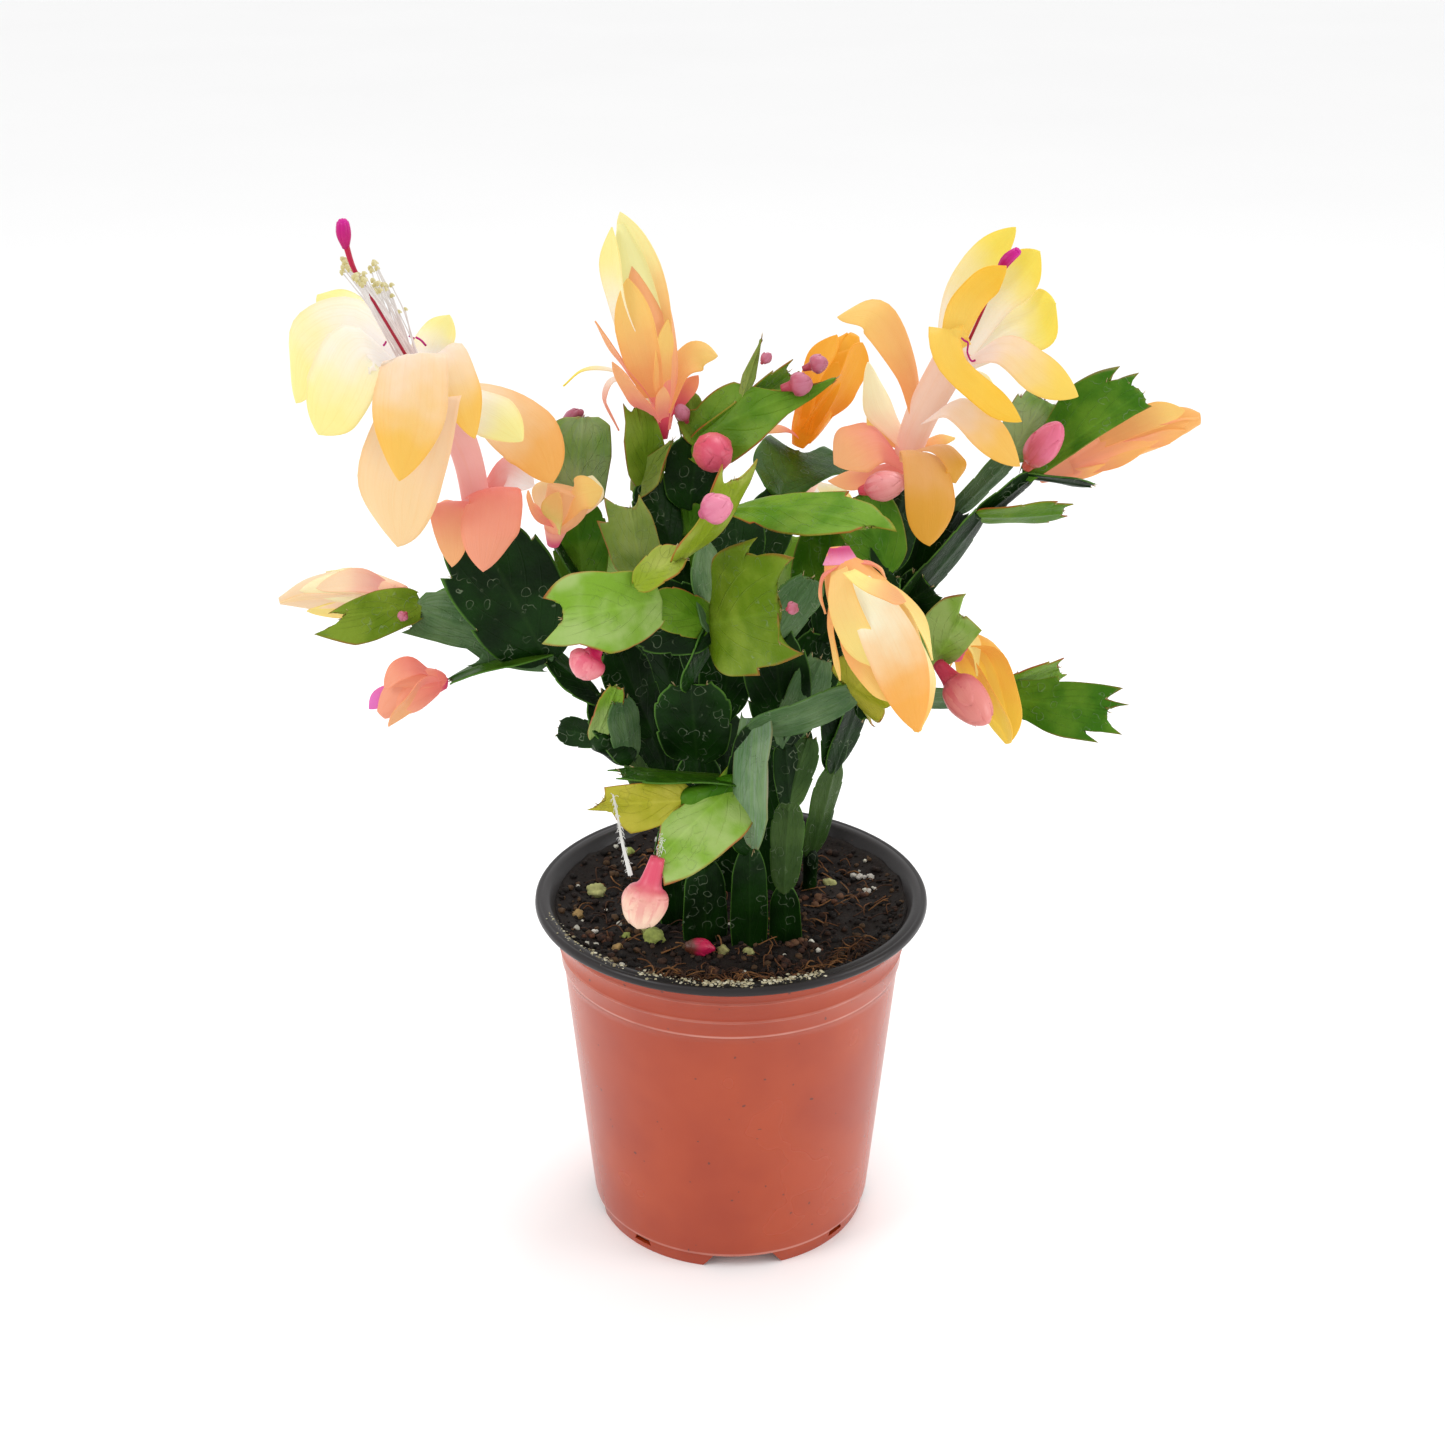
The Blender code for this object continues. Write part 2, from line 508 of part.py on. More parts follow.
# Each bloom: the stations of its body (place and radius), then its petals (the places that each runs through,
# and its width)
BLOOMS = {
    "bloom_a": (
        ((-67.7, 204.6, -13.2, 1.8), (-66.5, 212, -16, 3.4), (-69.5, 230, -23, 3.8), (-80, 249, -31, 5.0)),
        (
            (((-80, 246, -34), (-82, 247, -43), (-84, 234, -50), (-86.2, 219.6, -49)), 17),
            (((-82, 247, -32), (-92, 250, -36), (-101, 243, -42), (-106.4, 232.4, -42)), 19),
            (((-83, 248, -30), (-95, 257, -27), (-107, 253, -25), (-111, 241, -26)), 18),
            (((-82, 248, -28), (-95, 262, -16), (-104, 266, -12)), 9),
            (((-79, 244, -32), (-78, 237, -40), (-84, 215, -38), (-87.3, 201.5, -34)), 20),
            (((-77, 247, -31), (-71, 252, -32), (-67, 242, -38), (-66, 231, -40)), 9),
            (((-76, 244, -30), (-68, 240, -27), (-60, 235, -30), (-53.4, 230.6, -32)), 10),
            (((-76, 244, -28), (-62, 240, -16), (-50, 232, -14), (-47.5, 218, -18)), 13),
            (((-66, 217, -18), (-62, 216.5, -30), (-63.5, 206, -36), (-65.6, 194.7, -34)), 15),
            (((-68, 214, -18), (-74, 213, -27), (-74, 204, -31), (-73.7, 196, -30)), 10),
            (((-66, 215, -16), (-58, 217, -14), (-50.8, 218.4, -14)), 10),
            (((-67, 212, -16), (-75, 213, -14), (-79, 212, -10)), 5),
        ),
    ),
    "bloom_b": (
        (
            (-18, 231, 5, 1.4), (-17.8, 238, 5.5, 2.6), (-19.5, 250, 6, 5.6), (-22.5, 262, 7, 7.0),
            (-25, 275, 8, 5.2), (-27.5, 286, 8, 1.0),
        ),
        (
            (((-21, 246, 5), (-29, 262, 3), (-32, 275, 5), (-30, 285, 6)), 12),
            (((-18, 246, 7), (-19.5, 262, 5), (-23, 278, 7), (-27.7, 288.7, 8)), 13),
            (((-20, 244, 3), (-23, 258, -2), (-26.4, 272.6, 1)), 11),
            (((-21, 243, 5), (-28, 252, 2), (-35, 262, 3)), 5),
            (((-18.5, 243, 4), (-16, 252, 0), (-15.5, 261.7, 1)), 7),
            (((-20, 238, 4), (-24, 243, -1), (-30.4, 250.6, 0)), 9),
            (((-18.5, 235, 4), (-18, 240, 0), (-17.4, 244.7, 0)), 4.5),
            (((-17, 242, 6), (-13, 250, 9), (-8, 253.5, 10), (-3, 252, 10)), 7),
            (((-17, 239, 6), (-13, 243, 7), (-8.7, 247.8, 8)), 4),
            (((-22, 246, 8), (-32, 249.5, 10), (-38, 249, 10), (-43, 244.7, 10)), 3.5),
            (((-19, 238, 6), (-28, 244, 6), (-33.8, 240, 5)), 7),
        ),
    ),
    "bloom_c": (
        (
            (17, 229, 30, 1.8), (19.5, 235, 30.5, 4.2), (25, 247, 32, 6.2), (29, 254, 33, 4.4),
            (31, 258, 33, 1.4),
        ),
        (
            (((20, 240, 30), (22, 251, 29), (27, 258.5, 32)), 9),
            (((21, 237, 30), (30, 245, 28), (33.5, 254, 31)), 9),
            (((19, 233, 29), (22.5, 243, 25), (26, 252, 27)), 7),
            (((18, 231, 30), (13, 234, 27), (8, 232.5, 26)), 5),
        ),
    ),
    "bloom_d": (
        ((44, 221, 7, 1.8), (45, 226, 6, 3.4), (49, 238, 3, 4.3), (57, 254, 0, 4.8)),
        (
            (((55, 253, 1), (55, 267, 4), (62, 277, 5), (70.2, 285, 2)), 12),
            (((56, 253, -1), (58, 265, -4), (63, 272, -6), (68.4, 275.3, -8)), 8),
            (((57, 252, 2), (64, 266, 7), (71, 273, 7), (76.5, 279, 4)), 10),
            (((58, 251, 1), (68, 259, 5), (76, 262, 4), (81.2, 266, 0)), 15),
            (((58, 250, -1), (69, 253, -5), (79, 247, -9), (88.4, 242, -10)), 9.5),
            (((55, 252, -3), (52, 259, -8), (58, 250, -14), (67, 242, -15), (74, 235.4, -13)), 8),
            (((58, 250, 1), (65, 246, 0), (69, 239, -2)), 9),
            (((48, 236, 4), (44, 250, 6), (36, 263, 8), (26.5, 262.4, 9)), 8),
            (((46, 229, 5), (39, 238, 12), (34.5, 251, 14)), 9),
            (((44, 225, 5), (37, 229, 2), (30, 228, 0), (25.5, 226, 0)), 11),
            (((45, 228, 6), (38, 233, 9), (34.6, 236.7, 10)), 6),
            (((45, 224, 5), (34, 221, 3), (25, 219.5, 3)), 7),
            (((47, 225, 3), (49.5, 227, -7), (52.2, 215, -13), (51.9, 200.8, -12)), 12),
            (((48, 228, 3), (54, 229, -3), (58.5, 224, -5), (58, 219, -4)), 8),
            (((50, 236, 1), (57, 240, -5), (66, 233, -8), (74.5, 223.5, -8)), 10),
            (((48, 229, 5), (54, 231, 9), (57.5, 231, 10)), 4),
        ),
    ),
    "bloom_e": (
        (
            (80, 220.5, 17, 1.6), (88, 223, 20, 3.8), (100, 229, 21.5, 5.4), (112, 234, 22.5, 4.2),
            (121, 236, 23, 1.2),
        ),
        (
            (((86, 222, 19.5), (98, 224, 15.5), (110, 229, 17.5)), 8),
            (((84, 221, 18), (92, 221, 15.5), (99, 223, 16.5)), 5),
            (((90, 225, 21), (104, 235, 20), (114, 240, 21.5)), 7),
            (((98, 228, 19), (108, 231, 17), (117, 232.5, 19.5)), 6),
        ),
    ),
    "bloom_f": (
        (
            (28.7, 201.0, -51, 2.3), (28.6, 197, -52, 4.2), (33, 186, -56, 7.6), (39, 172, -59, 9.0),
            (46, 158, -60, 5.6), (50.5, 149, -60, 1.2),
        ),
        (
            (((31, 192, -56), (38, 180, -68), (46, 162, -69), (50.7, 148.4, -62)), 13),
            (((29, 193, -55), (30, 178, -65), (40, 161, -66)), 8),
            (((27.5, 195, -52), (25.5, 182, -57), (30, 163.5, -58)), 5),
            (((31, 195, -56), (40, 190, -65), (48, 184, -64)), 7),
            (((34, 192, -53), (46, 180, -57), (53, 165, -60)), 8),
            (((30, 198, -52), (37, 197, -53), (41.5, 193, -54)), 5),
            (((28, 196, -52), (24, 191, -54), (26, 184, -56)), 5),
        ),
    ),
    "bloom_g": (
        (
            (56.6, 170.2, -12.6, 1.6), (61, 173, -9.5, 3.8), (66, 169.5, -8.5, 6.6), (71, 160, -9, 6.4),
            (74, 151, -10, 3.8), (75.4, 145, -10.5, 1.0),
        ),
        (
            (((62, 172, -12), (69, 168, -16), (73, 155, -16.5), (75.4, 145, -11)), 9),
            (((63, 174, -11), (72, 171, -12), (76.5, 160, -10)), 8),
            (((61, 171, -12), (64, 163, -14.5), (68, 157, -15)), 7),
        ),
    ),
    "bloom_h": (
        (
            (-85.3, 188, -4.9, 1.5), (-90, 188.5, -2, 3.2), (-100, 189.5, 1, 5.2), (-111, 188.5, 1, 4.4),
            (-120, 186.4, 0, 1.0),
        ),
        (
            (((-90, 189, -2.7), (-103, 191, -5.2), (-117, 188, -3)), 7),
            (((-89, 190, -1), (-99, 195, 0), (-110, 194, 1)), 6),
            (((-92, 187, -1), (-103, 184.5, -2), (-113, 183.5, -1)), 6),
        ),
    ),
    "bloom_i": (
        (
            (-76.8, 162.8, -17, 1.4), (-80, 163, -18, 3.5), (-86, 161, -20, 5.6), (-91, 157.5, -21, 4.6),
            (-95, 153.5, -22, 1.6),
        ),
        (
            (((-81, 161, -20), (-88, 156, -26), (-93, 150, -25)), 8),
            (((-81, 164, -19), (-87, 166.5, -23), (-92, 160, -26)), 7),
            (((-91, 158, -20), (-95, 157, -21), (-98.4, 155, -21)), 4),
        ),
    ),
    "bloom_j": (
        ((-46.9, 202.3, -4.5, 1.5), (-46, 207, -6.6, 3.0), (-43.5, 212, -8.5, 5.4), (-42, 217, -8, 6.0)),
        (
            (((-44, 209, -7), (-37, 213, -9), (-33, 219, -7)), 9),
            (((-46, 208, -9), (-49, 213, -12), (-51, 218, -11)), 8),
            (((-45, 208, -9), (-43.5, 213, -15), (-43, 219, -16)), 8),
            (((-43, 211, -6), (-38, 216, -3.5), (-36, 221, -2)), 9),
            (((-45, 210, -6), (-48, 216, -3), (-48, 220, -2)), 9),
        ),
    ),
    "bloom_back": (
        ((14.4, 206.2, 53.6, 1.6), (16, 213, 56, 3.4), (18, 219, 62, 4.6), (19, 222, 70, 5.0)),
        (
            (((18, 219, 66), (22, 226, 74), (27, 226, 84)), 12),
            (((18, 220, 66), (12, 226, 76), (8, 224, 84)), 12),
            (((19, 220, 68), (19, 215, 80), (22, 206, 84)), 13),
            (((18, 219, 67), (12, 213, 76), (6, 208, 80)), 11),
            (((19, 220, 67), (26, 217, 76), (31, 211, 80)), 11),
            (((16, 214, 57), (20, 212, 60), (24, 214, 64)), 7),
        ),
    ),
}

# The stamens of bloom A: where each anther ends
STAMEN_ROOT = (-80.5, 248, -31)
ANTHERS = (
    (-97.5, 276.5, -45), (-92, 278.5, -33), (-98.5, 272, -38), (-87.5, 276, -29), (-93, 270, -46),
    (-88.6, 268, -44), (-85, 269, -30), (-81.5, 264, -36), (-95.5, 272, -30), (-85.5, 263, -42),
)
FILAMENT_RADIUS = 0.5
ANTHER_RADIUS = 0.8


def build_bloom(name, stations, petals):
    body = placed(stations)
    axis = (body[-1][0] - body[0][0]).normalized()
    pieces = [spindle(body, BLOOM_SIDES)]
    pieces += [petal(places, width, axis) for places, width in petals]
    if name == "bloom_a":
        root = at(*STAMEN_ROOT)
        for anther in ANTHERS:
            end = at(*anther)
            neck = root.lerp(end, ANTHER_SHARE)
            stations = [(root, FILAMENT_RADIUS), (neck, FILAMENT_RADIUS), (end, ANTHER_RADIUS)]
            pieces.append(spindle(stations, FILAMENT_SIDES))
    return fuse(pieces, name)


# Buds: base, tip, greatest radius, and the share of the length that is stalk
BUDS = {
    "bud_top_end_on": ((-6.6, 228.4, 0.6), (-3.2, 226.2, -12.9), 5.3, 0.2),
    "bud_on_folded_segment": ((-8.0, 210.4, -54), (-0.4, 213.9, -57.5), 3.7, 0.15),
    "bud_left_round": ((-35.6, 173.6, -47.5), (-41.5, 164.5, -50), 4.9, 0.25),
    "bud_top_right": ((12.6, 244.2, 0.2), (20.4, 246, -1.3), 3.0, 0.3),
    "bud_top_far": ((18.0, 249.2, 5.8), (24.2, 251.4, 4.8), 2.4, 0.3),
    "bud_behind_pale": ((-38.6, 238.0, 11.4), (-42.5, 234, 18.4), 2.8, 0.2),
    "bud_top_small": ((7.5, 250.6, 3.5), (9.6, 253.2, 1.8), 1.3, 0.2),
    "bud_under_bloom": ((33.6, 216.9, -1.1), (44.7, 219.6, -11.5), 4.0, 0.2),
    "bud_right": ((76.2, 223, 10.7), (84.2, 235, 3.2), 4.3, 0.15),
    "bud_right_low": ((55.6, 168.4, -17.7), (69.6, 151, -34.7), 5.6, 0.28),
    "bud_front_low": ((-20.5, 110.0, -47.8), (-26.4, 87.6, -52), 6.2, 0.36),
    "bud_on_olive": ((14.6, 184, -51.5), (17.6, 184.6, -52.6), 1.6, 0.2),
    "bud_red_top": ((-11.4, 235.2, 5.6), (-13.8, 239.8, 2.6), 1.8, 0.2),
    "bud_far_top_left": ((-58.9, 236.9, 10.2), (-60.8, 242.4, 10), 1.9, 0.2),
    "bud_left_end": ((-86.4, 183.2, -12.2), (-88.4, 181.0, -13.6), 1.4, 0.2),
}
BUD_SHAPE = ((0.0, 0.72), (0.3, 1.0), (0.72, 0.7), (1.0, 0.08))
STALK_RADIUS_SHARE = 0.34


def build_bud(name, base, tip, radius, stalk):
    low, high = at(*base), at(*tip)
    sides = BUD_SIDES if radius > SMALL_BUD_RADIUS else SMALL_BUD_SIDES
    stations = [(low, radius * STALK_RADIUS_SHARE)]
    for share, fat in BUD_SHAPE:
        stations.append((low.lerp(high, stalk + (1.0 - stalk) * share), radius * fat))
    return spindle(stations, sides, name, BUD_PINK)


# Pistils of the open blooms: the style from the throat, then the stigma's club
PISTILS = {
    "pistil_a": (
        (-83.4, 254.8, -33.6, 0.55), (-95, 281, -39, 0.6), (-95.8, 283, -39.5, 1.7), (-96.8, 287, -40, 1.2),
    ),
    "pistil_d": (
        (59.9, 256.5, -1.6, 0.55), (66.4, 272, -2, 0.6), (68.4, 277, -5, 1.4), (71.6, 279.4, -6, 0.9),
    ),
}
THREAD = ((-29.5, 124, -44.8, 0.5), (-30.8, 115, -48.5, 0.5), (-29, 104, -50.5, 0.9))


def turned(profile, sides, name, look):
    """The profile spun about Z. Its ends on the axis are closed by the weld."""
    bm = bmesh.new()
    verts = [bm.verts.new((r, 0.0, z)) for r, z in profile]
    edges = [bm.edges.new(pair) for pair in zip(verts, verts[1:])]
    if profile[0][0] > 0.0:
        edges.append(bm.edges.new((verts[-1], verts[0])))
    bmesh.ops.spin(
        bm, geom=edges + verts, axis=(0, 0, 1), cent=(0, 0, 0), angle=math.tau, steps=sides, use_merge=True
    )
    bmesh.ops.remove_doubles(bm, verts=bm.verts[:], dist=0.001)
    return finish(bm, name, look)


def build_pot():
    wall_top = POT_HEIGHT - RIM_LIP - COLLAR_DROP
    foot_outer = BASE_RADIUS - FOOT_INSET - FOOT_FLAT_INSET
    foot_inner = foot_outer - FOOT_WIDTH
    step_radius, step_height = SHOULDER_RADIUS + SHOULDER_STEP, SHOULDER_HEIGHT + SHOULDER_STEP_HEIGHT
    profile = (
        (0.0, FOOT_HEIGHT), (foot_outer - FOOT_TAPER, FOOT_HEIGHT), (foot_inner, 0.0), (foot_outer, 0.0),
        (BASE_RADIUS, FOOT_HEIGHT), (SHOULDER_RADIUS, SHOULDER_HEIGHT), (step_radius, step_height),
        (COLLAR_RADIUS, wall_top), (RIM_RADIUS, POT_HEIGHT - RIM_LIP), (RIM_RADIUS, POT_HEIGHT - RIM_BEVEL),
        (RIM_RADIUS - RIM_BEVEL_WIDTH, POT_HEIGHT), (RIM_INNER_RADIUS, POT_HEIGHT),
        (COLLAR_RADIUS - WALL, wall_top - INNER_COLLAR_DROP), (BASE_RADIUS - WALL, FOOT_HEIGHT + WALL),
        (0.0, FOOT_HEIGHT + WALL),
    )
    pot = turned(profile, POT_SIDES, "pot", TERRACOTTA)
    cutters = []
    for index in range(NOTCH_COUNT):
        turn = math.radians(NOTCH_TURN + 360.0 / NOTCH_COUNT * index - 90.0)
        roof = FOOT_HEIGHT - NOTCH_ROOF
        cutters.append(foot_cutter(turn, NOTCH_FLOOR, NOTCH_TOP, -1.0, roof))
        turn += math.pi / NOTCH_COUNT
        drain_floor = FOOT_HEIGHT - DRAIN_HEIGHT
        cutters.append(foot_cutter(turn, DRAIN_WIDTH, DRAIN_WIDTH * DRAIN_TOP_SHARE, drain_floor, roof))
    return combine(pot, cutters, "DIFFERENCE", "EXACT")


def foot_cutter(turn, low_width, high_width, low, high):
    """A block across the foot ring, wider at the ground than at the top."""
    bm = bmesh.new()
    bmesh.ops.create_cube(bm, size=1.0)
    for vert in bm.verts:
        width = high_width if vert.co.z > 0 else low_width
        radius = BASE_RADIUS + (CUT_OUTSIDE if vert.co.x > 0 else -CUT_INSIDE)
        vert.co = (radius, math.copysign(width / 2, vert.co.y), high if vert.co.z > 0 else low)
    bmesh.ops.rotate(bm, verts=bm.verts[:], cent=(0, 0, 0), matrix=Matrix.Rotation(turn, 3, "Z"))
    return finish(bm, "cutter", TERRACOTTA)


def slot_cutter(root, segment_row):
    """A plain slot round the buried end of a rooted segment, square to it."""
    _, end, width, roll, outline, _, _ = segment_row
    base, tip = in_soil(*ROOTS[root]), joint(end)
    along, across, facing = segment_axes(base, tip, roll)
    thick = (width if outline == "stalk" else FLAT_THICKNESS) + SLOT_CLEAR * 2
    wide = width + SLOT_CLEAR * 2
    deep = SLOT_DEPTH + SLOT_RISE
    frame = Matrix((across, facing, along)).transposed().to_4x4()
    bm = bmesh.new()
    bmesh.ops.create_cube(bm, size=1.0)
    bmesh.ops.scale(bm, vec=(wide, thick, deep), verts=bm.verts[:])
    bmesh.ops.translate(bm, vec=(0, 0, deep / 2 - SLOT_CLEAR), verts=bm.verts[:])
    bmesh.ops.transform(bm, matrix=Matrix.Translation(base) @ frame, verts=bm.verts[:])
    return finish(bm, "cutter", PEAT)


# The granules that lie on the soil: x, y, radius
GRANULES = (
    (-34.5, -2.0, 3.0), (-20.6, -21.5, 2.8), (-3.0, -24.0, 1.9), (-36.5, -10.0, 1.8), (-23.5, -27.0, 2.0),
    (33.0, 10.0, 1.8), (17.0, -28.0, 3.0), (27.0, -21.0, 2.6), (-27.0, 12.0, 2.6), (18.0, 35.0, 2.8),
    (-20.0, 32.0, 2.6), (38.0, -12.0, 2.0),
)


def soil_height(x, y):
    lump = noise.noise(Vector((x, y, 3.0)) * SOIL_LUMP_PACE)
    lump += SOIL_SMALL_LUMP * noise.noise(Vector((x, y, 9.0)) * SOIL_SMALL_PACE)
    return SOIL_TOP + SOIL_LUMP * lump


def build_soil():
    low, high = FOOT_HEIGHT + WALL + SOIL_GAP, SOIL_TOP - SOIL_EDGE
    # The pot's wall is a polygon too, so the soil keeps inside the middles of its sides
    flat = math.cos(math.pi / POT_SIDES)
    wall_low = FOOT_HEIGHT + WALL
    wall_high = POT_HEIGHT - RIM_LIP - COLLAR_DROP - INNER_COLLAR_DROP
    slope = (COLLAR_RADIUS - BASE_RADIUS) / (wall_high - wall_low)
    low_radius = (BASE_RADIUS - WALL) * flat - SOIL_GAP
    top_radius = (BASE_RADIUS - WALL + slope * (high - wall_low)) * flat - SOIL_GAP
    profile = [(0.0, low), (low_radius, low), (top_radius, high)]
    for ring in range(SOIL_RINGS):
        radius = (top_radius - SOIL_EDGE_INSET) * (1.0 - ring / SOIL_RINGS)
        profile.append((radius, SOIL_TOP))
    profile.append((0.0, SOIL_TOP))
    soil = turned(profile, SOIL_SIDES, "soil", PEAT)
    for vert in soil.data.vertices:
        if abs(vert.co.z - SOIL_TOP * MM) < 0.01 * MM:
            vert.co.z = soil_height(vert.co.x / MM, vert.co.y / MM) * MM
    lumps = []
    for index, (x, y, radius) in enumerate(GRANULES):
        bm = bmesh.new()
        bmesh.ops.create_icosphere(bm, subdivisions=1, radius=radius)
        for vert in bm.verts:
            vert.co *= 1.0 + GRANULE_RELIEF * noise.noise(vert.co * GRANULE_PACE + Vector((index, 0, 0)))
            vert.co.z *= GRANULE_SQUASH
        bmesh.ops.translate(bm, vec=(x, y, soil_height(x, y) + radius * GRANULE_RISE), verts=bm.verts[:])
        lumps.append(finish(bm, "lump", PEAT))
    combine(soil, lumps, "UNION", "EXACT")
    slots = []
    for rows in STEMS.values():
        slots.append(slot_cutter(rows[0][0], rows[0]))
    return combine(soil, slots, "DIFFERENCE", "EXACT")


# The bud that lies on the soil: x, y, height above it, radius
FALLEN_BUD = (
    (-12.4, -25.8, 2.6, 1.3), (-9.6, -25.9, 2.7, 2.3), (-7.0, -26.2, 2.7, 2.2), (-4.4, -26.6, 2.5, 0.3),
)


def build_fallen_bud():
    stations = [(Vector((x, y, SOIL_TOP + lift)), radius) for x, y, lift, radius in FALLEN_BUD]
    return spindle(stations, FALLEN_BUD_SIDES, "fallen_bud", BUD_PINK)


def centre_on_box(objects):
    """Moves everything so that the whole box stands with the middle of its foot on the origin."""
    corners = [obj.matrix_world @ Vector(corner) for obj in objects for corner in obj.bound_box]
    low = [min(corner[axis] for corner in corners) for axis in range(3)]
    high = [max(corner[axis] for corner in corners) for axis in range(3)]
    shift = Vector((-(low[0] + high[0]) / 2, -(low[1] + high[1]) / 2, -low[2]))
    for obj in objects:
        obj.data.transform(Matrix.Translation(shift))


def main():
    build_pot()
    build_soil()
    for name, rows in STEMS.items():
        build_stem(name, rows)
    for name, (stations, petals) in BLOOMS.items():
        build_bloom(name, stations, petals)
    for name, (base, tip, radius, stalk) in BUDS.items():
        build_bud(name, base, tip, radius, stalk)
    for name, stations in PISTILS.items():
        spindle(placed(stations), PISTIL_SIDES, name, PISTIL_CRIMSON)
    spindle(placed(THREAD), THREAD_SIDES, "white_fibre", FIBRE_WHITE)
    build_fallen_bud()
    bpy.context.view_layer.update()
    centre_on_box(list(bpy.data.objects))


main()
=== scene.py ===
# %% [markdown]
# # A Thanksgiving cactus in bloom
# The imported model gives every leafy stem, bloom, bud, the soil and the pot as plain solids at their real
# size. These cells grow the fine surface over them: thin toothed segments, petals in layers, stamens,
# crumbs of peat and the glossy pot. Nothing moves or changes size, so each fine piece stays on its solid.

# %% Load the model
import json
import math
import random

import bmesh
import bpy
from mathutils import Matrix, Vector, noise

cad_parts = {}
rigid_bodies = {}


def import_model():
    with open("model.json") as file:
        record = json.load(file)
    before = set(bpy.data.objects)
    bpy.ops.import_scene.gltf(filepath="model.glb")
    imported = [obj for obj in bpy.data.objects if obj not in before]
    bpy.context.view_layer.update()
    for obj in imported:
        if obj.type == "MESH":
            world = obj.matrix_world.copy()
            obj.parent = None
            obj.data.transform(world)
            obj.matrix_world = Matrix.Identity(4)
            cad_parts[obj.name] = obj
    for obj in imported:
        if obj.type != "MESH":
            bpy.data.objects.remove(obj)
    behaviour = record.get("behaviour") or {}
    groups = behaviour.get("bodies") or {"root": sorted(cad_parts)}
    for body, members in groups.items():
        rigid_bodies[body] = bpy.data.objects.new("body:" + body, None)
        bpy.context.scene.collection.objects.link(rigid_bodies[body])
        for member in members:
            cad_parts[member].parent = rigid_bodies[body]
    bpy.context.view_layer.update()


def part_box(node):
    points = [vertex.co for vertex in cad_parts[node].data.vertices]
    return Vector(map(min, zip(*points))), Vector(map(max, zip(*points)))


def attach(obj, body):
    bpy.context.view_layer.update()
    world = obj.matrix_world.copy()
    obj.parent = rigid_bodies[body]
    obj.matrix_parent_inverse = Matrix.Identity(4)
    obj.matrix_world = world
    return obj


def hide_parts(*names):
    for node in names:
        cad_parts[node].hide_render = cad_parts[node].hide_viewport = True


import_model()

# %% [markdown]
# ## Places
# The plant was measured in one view, so a place is two numbers in millimetres on the upright plane through
# the pot's axis, and a depth to which the line of sight is followed. The pot's own box says where its axis
# stands.

# %% Lines of sight
MM = 0.001
EYE = Vector((-2.4, -548.0, 390.6))
POT_HEIGHT = 100.0
SOIL_TOP = 93.5
SLOT_DEPTH = 10.0
pot_low, pot_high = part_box("pot")
POT_AXIS = Vector(((pot_low.x + pot_high.x) / 2, (pot_low.y + pot_high.y) / 2, 0.0))
TO_MODEL = Matrix.Translation(POT_AXIS) @ Matrix.Scale(MM, 4)


def at(x, z, depth):
    """The point at a depth on the line of sight through (x, z) on the plane of the pot's axis."""
    reach = (depth - EYE.y) / -EYE.y
    return EYE + (Vector((x, 0.0, z)) - EYE) * reach


print("pot axis in mm:", [round(side / MM, 2) for side in POT_AXIS])

# %% [markdown]
# ## Camera, floor and light
# The photograph looks down on the pot by about 24 degrees from 60 centimetres away. A white floor, a white
# sky and three broad lamps give the even, bright light of a cut-out product picture.

# %% Camera
PITCH_DOWN = 23.6
camera_data = bpy.data.cameras.new("camera")
camera_data.sensor_width = 36.0
camera_data.lens = 54.8
camera = bpy.data.objects.new("camera", camera_data)
camera.location = TO_MODEL @ EYE
camera.rotation_euler = (math.radians(90.0 - PITCH_DOWN), 0.0, 0.0)
bpy.context.scene.collection.objects.link(camera)
bpy.context.scene.camera = camera
print("camera at", [round(side, 3) for side in camera.location])

# %% Sky and lamps
bpy.context.scene.view_settings.view_transform = "Standard"
sky = bpy.data.worlds.new("white_sky")
sky.use_nodes = True
sky.node_tree.nodes["Background"].inputs["Color"].default_value = (1.0, 1.0, 1.0, 1.0)
sky.node_tree.nodes["Background"].inputs["Strength"].default_value = 1.0
bpy.context.scene.world = sky
LAMPS = {
    "left_window": ((-0.75, -0.45, 0.75), 0.4, 3.6),
    "right_window": ((0.85, -0.2, 0.45), 0.4, 2.6),
    "top_window": ((0.15, 0.35, 1.0), 0.4, 3.0),
}
for name, (place, size, power) in LAMPS.items():
    lamp_data = bpy.data.lights.new(name, "AREA")
    lamp_data.size = size
    lamp_data.energy = power
    lamp = bpy.data.objects.new(name, lamp_data)
    lamp.location = place
    lamp.rotation_euler = (Vector((0.0, 0.0, 0.16)) - lamp.location).to_track_quat("-Z", "Y").to_euler()
    bpy.context.scene.collection.objects.link(lamp)
print("lamps:", ", ".join(LAMPS))

# %% [markdown]
# ## Shader maths
# A finish is easier to read as a sum than as a cloud of nodes. A small class wraps a node's output, and
# Python's operators on it add the Math nodes. Colours and vectors go through Vector Math, which keeps their
# three parts.


# %% Sockets that add up
LIGHT = 1.4


def colour(code):
    """The skin colour that looks like the six hexadecimal digits once the sky and the lamps light it."""
    parts = [int(code[index:index + 2], 16) / 255.0 for index in (0, 2, 4)]
    linear = [part / 12.92 if part <= 0.04045 else ((part + 0.055) / 1.055) ** 2.4 for part in parts]
    return tuple(part / LIGHT for part in linear)


def colours(codes):
    return tuple(colour(code) for code in codes.split())


